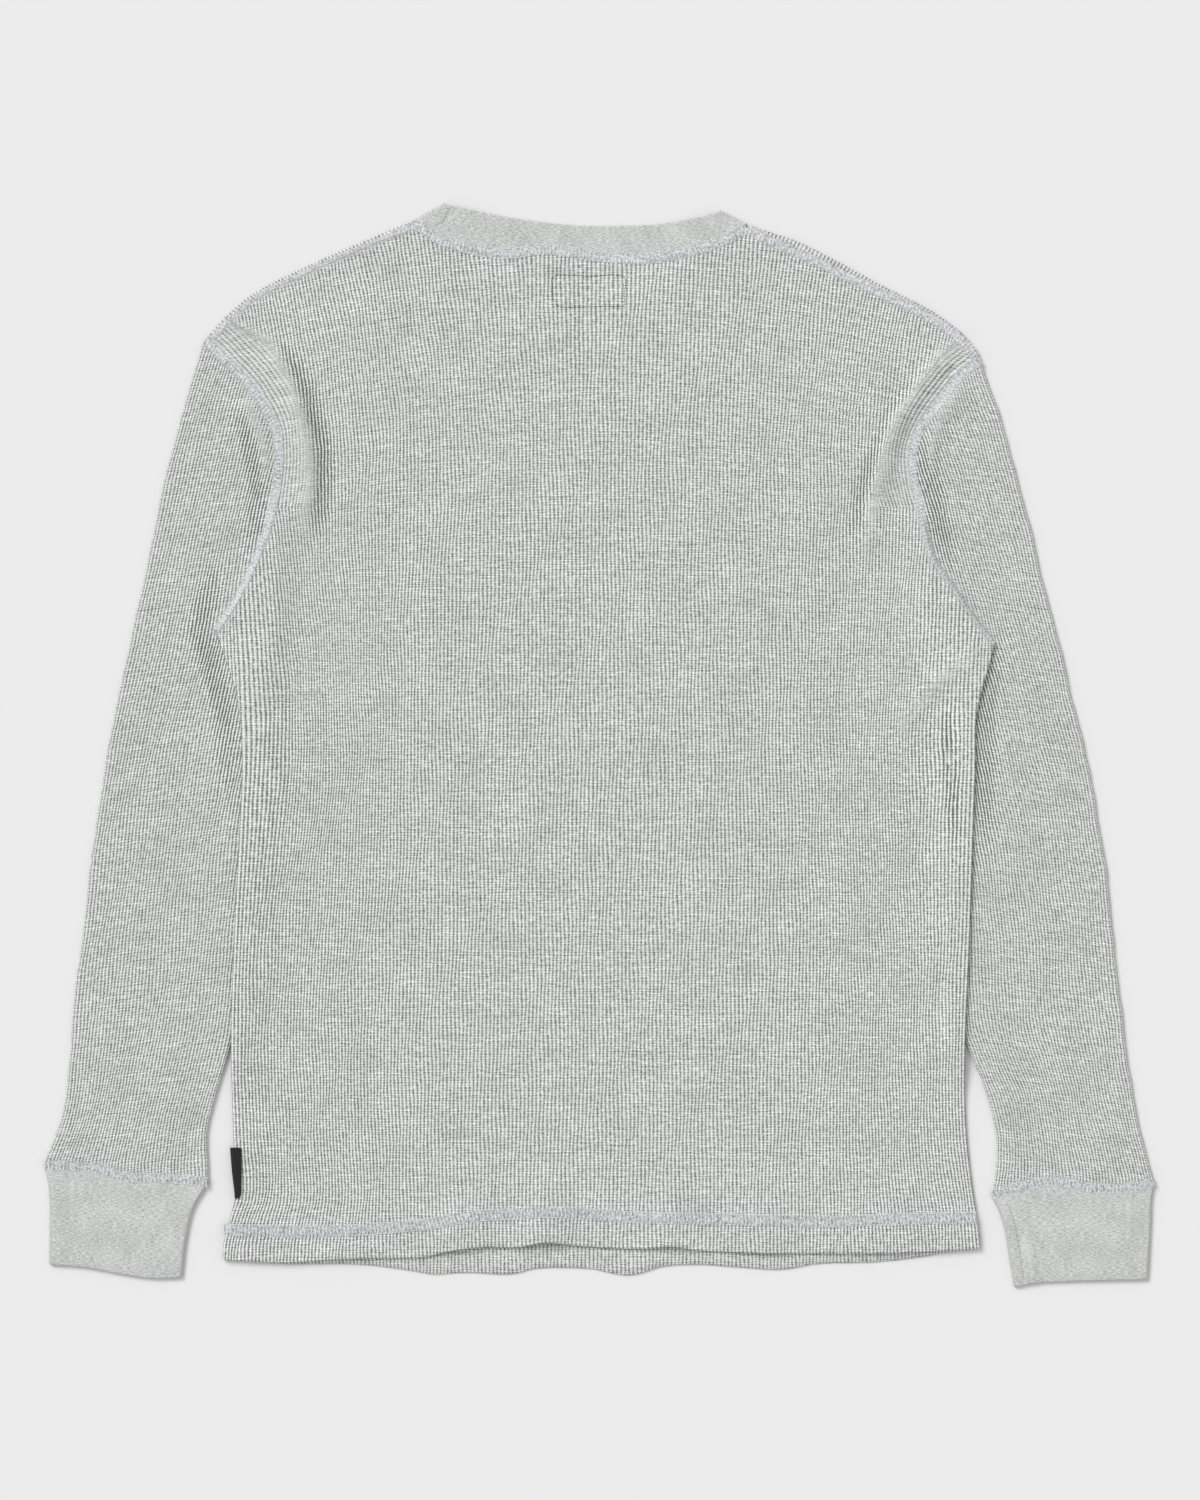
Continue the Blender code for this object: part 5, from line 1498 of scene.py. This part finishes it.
def running_stitches(path, level):
    """A row of short stitches along a path, with their ends drawn into the cloth."""
    count = int(travelled(path)[-1] / RUNNING_PITCH)
    starts = np.arange(count) / count
    plan = at_shares(path, starts[:, None] + RUNNING_PLACES / count)
    return [np.dstack((plan, level(plan) + RUNNING_LEVELS))]


def thread_tree(finish):
    """Nodes for threads of a given radius along every line of a mesh, and the radius's name."""
    tree = Tree(bpy.data.node_groups.new("seam_threads", "GeometryNodeTree"))
    group = tree.tree
    group.interface.new_socket("Lines", in_out="INPUT", socket_type="NodeSocketGeometry")
    radius = group.interface.new_socket("Thread radius", in_out="INPUT",
                                        socket_type="NodeSocketFloat")
    radius.default_value = THREAD * MM
    group.interface.new_socket("Threads", in_out="OUTPUT", socket_type="NodeSocketGeometry")
    given = tree.node("NodeGroupInput")
    curves = tree.node("GeometryNodeMeshToCurve", inputs={"Mesh": given["Lines"]})
    section = tree.node("GeometryNodeCurvePrimitiveCircle", inputs={
        "Resolution": 4, "Radius": given["Thread radius"]})
    threads = tree.node("GeometryNodeCurveToMesh", inputs={
        "Curve": curves["Curve"], "Profile Curve": section["Curve"], "Fill Caps": True})
    realized = tree.node("GeometryNodeRealizeInstances", inputs={"Geometry": threads["Mesh"]})
    painted = tree.node("GeometryNodeSetMaterial", inputs={
        "Geometry": realized["Geometry"], "Material": finish})
    tree.node("NodeGroupOutput", inputs={"Threads": painted["Geometry"]})
    return group, radius.identifier


def make_stitching(name, lines, thread, tree, identifier):
    """Threads along polylines, made by the tree and kept as a plain mesh."""
    points, edges, count = [], [], 0
    for block in lines:
        numbers = count + np.arange(block[..., 0].size).reshape(block.shape[:-1])
        points.append(block.reshape(-1, 3))
        edges.append(np.stack((numbers[:, :-1], numbers[:, 1:]), -1).reshape(-1, 2))
        count += numbers.size
    mesh = bpy.data.meshes.new(name + "_lines")
    mesh.from_pydata((np.concatenate(points) * MM).tolist(), np.concatenate(edges).tolist(), [])
    lines_object = bpy.data.objects.new(name + "_lines", mesh)
    bpy.context.scene.collection.objects.link(lines_object)
    modifier = lines_object.modifiers.new("Threads", "NODES")
    modifier.node_group = tree
    modifier[identifier] = thread * MM
    graph = bpy.context.evaluated_depsgraph_get()
    made = bpy.data.meshes.new_from_object(lines_object.evaluated_get(graph))
    made.name = name
    bpy.data.objects.remove(lines_object, do_unlink=True)
    piece = bpy.data.objects.new(name, made)
    bpy.context.scene.collection.objects.link(piece)
    return piece


# Tab --------------------------------------------------------------------------------------

def make_tab():
    """Woven tab: out of the left side seam, bent over the edge and lying on the back."""
    edge = smooth_path(LEFT.edge)
    level = FLAT_TUBE + SEAM_GAP + TAB_WALL / 2 + TAB_LIFT
    shares, bends, ends = np.array(TAB_EDGES).T
    rows = []
    for share in np.linspace(0, 1, TAB_ROWS):
        y = TAB_TOP - share * TAB_LENGTH
        seam = np.interp(y, edge[:, 1], edge[:, 0])
        out = min(np.interp(share, shares, bends), seam - TAB_CLEAR)
        end = np.interp(share, shares, ends)
        across = [(out + TAB_ROOT, OUTER_BEND - TAB_ROOT),
                  (out - TAB_BEND, mix(OUTER_BEND, level, 0.5)),
                  (out + TAB_BEND, level - TAB_BEND * 0.3)]
        across += [(mix(out + TAB_BEND, end, part), level) for part in (0.25, 0.5, 0.75, 1.0)]
        rows.append([(x, y, z) for x, z in across])
    cloth = Cloth()
    points = np.array(rows)
    numbers = cloth.lay(points)
    cloth.weave(numbers, grid(points[..., 0], points[..., 1]), -1)
    tab = cloth.piece("woven_tab", TAPE)
    wall = tab.modifiers.new("Wall", "SOLIDIFY")
    wall.thickness = TAB_WALL * MM
    wall.offset = 0
    rounding = tab.modifiers.new("Rounding", "SUBSURF")
    rounding.levels = rounding.render_levels = 2
    return tab


# Finishes ---------------------------------------------------------------------------------

class Value:
    """A socket whose arithmetic adds Math nodes to its tree."""

    def __init__(self, tree, socket):
        self.tree, self.socket = tree, socket

    def maths(self, operation, *others):
        values = {0: self}
        values.update({number + 1: other for number, other in enumerate(others)})
        return self.tree.node("ShaderNodeMath", {"operation": operation}, values)[0]

    def __add__(self, other):
        return self.maths("ADD", other)

    def __mul__(self, other):
        return self.maths("MULTIPLY", other)

    def __sub__(self, other):
        return self.maths("SUBTRACT", other)

    def __rsub__(self, other):
        return (self * -1.0) + other

    def __pow__(self, other):
        return self.maths("POWER", other)

    __radd__ = __add__
    __rmul__ = __mul__

    def cosine(self):
        return self.maths("COSINE")

    def clamped(self):
        return self.maths("MAXIMUM", 0.0).maths("MINIMUM", 1.0)


class Node:
    """A node's outputs, by name or number, as values."""

    def __init__(self, tree, node):
        self.tree, self.made = tree, node

    def __getitem__(self, key):
        return Value(self.tree, self.made.outputs[key])


class Tree:
    """A node tree under construction."""

    def __init__(self, tree):
        self.tree = tree

    def node(self, kind, settings=None, inputs=None):
        made = self.tree.nodes.new(kind)
        for name, setting in (settings or {}).items():
            setattr(made, name, setting)
        for key, value in (inputs or {}).items():
            if isinstance(value, Value):
                self.tree.links.new(value.socket, made.inputs[key])
            else:
                made.inputs[key].default_value = value
        return Node(self, made)

    def blend(self, share, first, second):
        """Colour between two, by a share."""
        mixer = self.node("ShaderNodeMix", {"data_type": "RGBA"}, {0: share})
        for slot, colour in ((6, first), (7, second)):
            if isinstance(colour, Value):
                self.tree.links.new(colour.socket, mixer.made.inputs[slot])
            else:
                mixer.made.inputs[slot].default_value = (*colour, 1.0)
        return mixer[2]


def new_finish(name, roughness, sheen=0.0):
    """A material with its tree, its shader's settings and the cloth's own coordinates."""
    finish = bpy.data.materials.new(name)
    finish.use_nodes = True
    shader = finish.node_tree.nodes["Principled BSDF"]
    shader.inputs["Roughness"].default_value = roughness
    shader.inputs["Specular IOR Level"].default_value = 0.15
    shader.inputs["Sheen Weight"].default_value = sheen
    shader.inputs["Sheen Roughness"].default_value = 0.6
    tree = Tree(finish.node_tree)
    uv = tree.node("ShaderNodeUVMap", {"uv_map": "knit"})
    parts = tree.node("ShaderNodeSeparateXYZ", inputs={0: uv["UV"]})
    return finish, tree, shader, parts["X"], parts["Y"]


def stretched_noise(tree, x, y, across, along, scale, detail=2.0, rough=0.5):
    """Noise over the cloth's own coordinates, stretched by two factors."""
    place = tree.node("ShaderNodeCombineXYZ", inputs={0: x * across, 1: y * along, 2: 0.0})
    return tree.node("ShaderNodeTexNoise", {"noise_dimensions": "2D"}, {
        "Vector": place["Vector"], "Scale": scale, "Detail": detail, "Roughness": rough})[0]


def finish_with(tree, shader, colour, height, distance):
    """Give a shader its colour, and bumps of a height times a distance in millimetres."""
    bump = tree.node("ShaderNodeBump", inputs={"Height": height, "Strength": 1.0,
                                               "Distance": distance * MM})
    tree.tree.links.new(colour.socket, shader.inputs["Base Color"])
    tree.tree.links.new(bump["Normal"].socket, shader.inputs["Normal"])


def waffle_knit():
    """Heathered grey waffle knit, with painted highlights on its cells and painted shade in its
    grooves.
    """
    finish, tree, shader, wale, course = new_finish("heather_waffle_knit", 0.92, 0.15)
    rib = tree.node("ShaderNodeAttribute", {"attribute_name": "rib"})["Fac"]
    wobble = stretched_noise(tree, wale, course, 0.8, 1.0, 0.6, 2.0) - 0.5
    groove_at = (((wale + wobble * 0.24) * (2 * np.pi)).cosine() * 0.5 + 0.5) ** 1.9
    step = stretched_noise(tree, wale, course, 0.5, 1.0, 0.4, 1.0) - 0.5
    between = (((course + step * 0.9) * (2 * np.pi)).cosine() * 0.5 + 0.5) ** 1.5
    yarn = stretched_noise(tree, wale, course, 0.9, 1.4, 1.1, 3.0, 0.75)
    flecks = stretched_noise(tree, wale, course, 0.5, 1.2, 0.9, 2.0, 0.7)
    streaks = stretched_noise(tree, wale, course, 0.11, 1.0, 0.75, 3.0, 0.7)
    patchy = stretched_noise(tree, wale, course, 1.0, 1.0, 0.07, 2.0)
    # painted highlight on the cells' tops, away from grooves and lines, mixed with the yarn's
    # random heather
    highlight_and_heather = ((yarn - 0.44) * 4.0 * (1 - groove_at) * (1 - between)).clamped()
    ribs = tree.blend(highlight_and_heather, RIB_COLOUR, RIB_HIGHLIGHT)
    # painted shade in the sunk lines between the cells, uneven at random
    line_shaded = tree.blend((between * ((flecks - 0.5) * 2.4 + 0.75)).clamped() * 0.5, ribs,
                       LINE_SHADE_COLOUR)
    # painted shade in the grooves: darker at the cells' lines, deeper where ribs are pressed
    # together, uneven at random
    dark = groove_at * (between * 0.32 + 0.68) * (rib * 0.9 + 0.1) * ((flecks - 0.5) * 2.4 + 0.95)
    cloth = tree.blend(dark.clamped(), line_shaded, GROOVE_SHADE_COLOUR)
    # painted shade where the ribs are smoothed: on stretched crests, in the strips by the
    # armholes and under seams
    stretched = (1 - rib).clamped()
    # painted light that lifts the ribs where they stand deeper, against their grooves' shade
    deep_rib_painted_light = ((rib - 1) * 4.0).clamped()
    # random heather tone, with the painted crest shade and the painted lift of deeper ribs
    heather_and_shade = ((patchy - 0.5) * 0.16 + (streaks - 0.5) * 0.58 + (yarn - 0.5) * 0.5
             - stretched * 0.22 + deep_rib_painted_light * 0.11 + 1.0)
    mottled_and_shaded = tree.node("ShaderNodeVectorMath", {"operation": "SCALE"},
                        {0: cloth, "Scale": heather_and_shade})[0]
    height = (1 - groove_at) * 0.5 - between * 0.3 + yarn * 0.3
    finish_with(tree, shader, mottled_and_shaded, height * (rib * 0.8 + 0.2), 0.45)
    return finish


def jersey():
    """Fine plain knit with short heathered streaks along its courses."""
    finish, tree, shader, wale, course = new_finish("heather_jersey", 0.9, 0.12)
    streaks = stretched_noise(tree, wale, course, 0.26, 1.6, 1.3, 3.0, 0.7)
    fine = stretched_noise(tree, wale, course, 0.8, 1.0, 1.5, 2.0, 0.7)
    soft = stretched_noise(tree, wale, course, 1.0, 1.0, 0.06, 1.0)
    share = ((streaks - 0.5) * 3.6 + (fine - 0.5) * 1.8 + (soft - 0.5) * 0.5 + 0.5).clamped()
    colour = tree.blend(share, JERSEY_DARK, JERSEY_LIGHT)
    loops = (wale * (2 * np.pi)).cosine() * (course * (2 * np.pi)).cosine()
    finish_with(tree, shader, colour, loops * 0.25 + fine * 0.6, 0.25)
    return finish


def thread_finish(name, dark, light):
    """Soft polyester thread, lighter where it catches the light."""
    finish, tree, shader = new_finish(name, 0.75, 0.1)[:3]
    place = tree.node("ShaderNodeTexCoord")["Object"]
    uneven = tree.node("ShaderNodeTexNoise", inputs={"Vector": place, "Scale": 650.0,
                                                     "Detail": 2.0})[0]
    colour = tree.blend(((uneven - 0.5) * 3.2 + 0.5).clamped(), dark, light)
    finish_with(tree, shader, colour, uneven, 0.12)
    return finish


def woven_tape():
    """Black tape in a fine twill."""
    finish, tree, shader, x, y = new_finish("black_woven_tape", 0.6)
    twill = ((x + y) * (2 * np.pi / TWILL_PITCH)).cosine() * 0.5 + 0.5
    colour = tree.blend(twill * 0.6, TAPE_LIGHT, TAPE_DARK)
    finish_with(tree, shader, colour, twill, 0.1)
    return finish


# Stage ------------------------------------------------------------------------------------

def make_stage():
    """Pale floor, soft light from the upper left and a camera straight above."""
    mesh = bpy.data.meshes.new("floor")
    mesh.from_pydata([(x * FLOOR_REACH, y * FLOOR_REACH, 0)
                      for x, y in ((-1, -1), (1, -1), (1, 1), (-1, 1))], [], [(0, 1, 2, 3)])
    floor = bpy.data.objects.new("floor", mesh)
    bpy.context.scene.collection.objects.link(floor)
    paper = bpy.data.materials.new("pale_floor")
    paper.use_nodes = True
    shader = paper.node_tree.nodes["Principled BSDF"]
    shader.inputs["Base Color"].default_value = (*FLOOR_COLOUR, 1.0)
    shader.inputs["Roughness"].default_value = 1.0
    shader.inputs["Specular IOR Level"].default_value = 0.0
    mesh.materials.append(paper)

    world = bpy.context.scene.world or bpy.data.worlds.new("studio")
    bpy.context.scene.world = world
    world.use_nodes = True
    sky = world.node_tree.nodes["Background"]
    sky.inputs["Color"].default_value = (1.0, 1.0, 1.0, 1.0)
    sky.inputs["Strength"].default_value = AMBIENT

    lamp = bpy.data.lights.new("window_light", "SUN")
    lamp.energy = KEY
    lamp.angle = np.radians(KEY_SPREAD)
    key = bpy.data.objects.new("window_light", lamp)
    key.rotation_euler = Vector(KEY_FROM).to_track_quat("Z", "Y").to_euler()
    bpy.context.scene.collection.objects.link(key)

    lens = bpy.data.cameras.new("camera")
    lens.lens = LENS
    camera = bpy.data.objects.new("camera", lens)
    camera.location = CAMERA_AT
    bpy.context.scene.collection.objects.link(camera)
    bpy.context.scene.camera = camera
    bpy.context.scene.view_settings.view_transform = "Standard"


# Dressing ---------------------------------------------------------------------------------

def flat_area(plan):
    """Area of a grid of plan points, in square metres."""
    one, other = plan[1:, 1:] - plan[:-1, :-1], plan[1:, :-1] - plan[:-1, 1:]
    crossed = one[..., 0] * other[..., 1] - one[..., 1] * other[..., 0]
    return float(np.abs(crossed).sum() / 2 * MM ** 2)


def panel_area(hem, neck, inset):
    return sum(flat_area(plan) for plan in body_blocks(hem, neck, inset))


def main():
    rng = np.random.default_rng(7)

    def keep(piece, slot, *nodes):
        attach(piece, "root")
        if nodes:
            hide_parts(*nodes)
        return piece

    back = keep(make_back(), "waffle_knit", "back_panel")
    front = keep(make_front(), "waffle_knit", "front_panel")
    neckband = keep(make_neckband(), "jersey_knit", "neckband")
    tab = keep(make_tab(), "woven_tape", "side_tab")
    sleeves = [keep(make_sleeve(side), "waffle_knit", "sleeve_" + side.name)
               for side in (LEFT, RIGHT)]
    cuffs = [keep(make_cuff(side), "jersey_knit", "cuff_" + side.name) for side in (LEFT, RIGHT)]

    covering = thread_tree(THREADS)
    for seam in SEAMS:
        band = keep(make_band(seam), "jersey_knit")
        stitches = keep(make_stitching(seam.name + "_stitching", stitch_lines(seam, rng), THREAD,
                                       *covering), "jersey_knit")
    running = thread_tree(DARK_THREADS)
    mark, join, cuff_join = (
        keep(make_stitching(name, running_stitches(smooth_path(path, 8), level), RUNNING_THREAD,
                            *running), "jersey_knit")
        for name, path, level in (
            ("mark_stitching", MARK, back_top),
            ("neckband_join", JOIN, lambda plan: FLAT_TUBE - neck_sag(plan)),
            ("cuff_join", CUFF_JOIN, cuff_join_level)))

    panel_area(BACK_HEM, back_neck, None)
    panel_area(FRONT_HEM, front_neck, OUTER_BEND)
    for side, sleeve, cuff in zip((LEFT, RIGHT), sleeves, cuffs):
        2 * flat_area(sleeve_plan(side)[0]) + SLEEVE_FOLDS
    make_stage()


WAFFLE = waffle_knit()
JERSEY = jersey()
THREADS = thread_finish("lavender_grey_thread", THREAD_DARK, THREAD_LIGHT)
SEAM_TAPE = thread_finish("lavender_grey_seam", SEAM_DARK, SEAM_LIGHT)
TAPES = {"hem": thread_finish("lavender_grey_hem_seam", HEM_SEAM_DARK, HEM_SEAM_LIGHT),
         "cuff": thread_finish("lavender_grey_cuff_seam", CUFF_SEAM_DARK, CUFF_SEAM_LIGHT)}
DARK_THREADS = thread_finish("dark_grey_thread", DARK_THREAD, DARK_THREAD_LIGHT)
TAPE = woven_tape()
main()
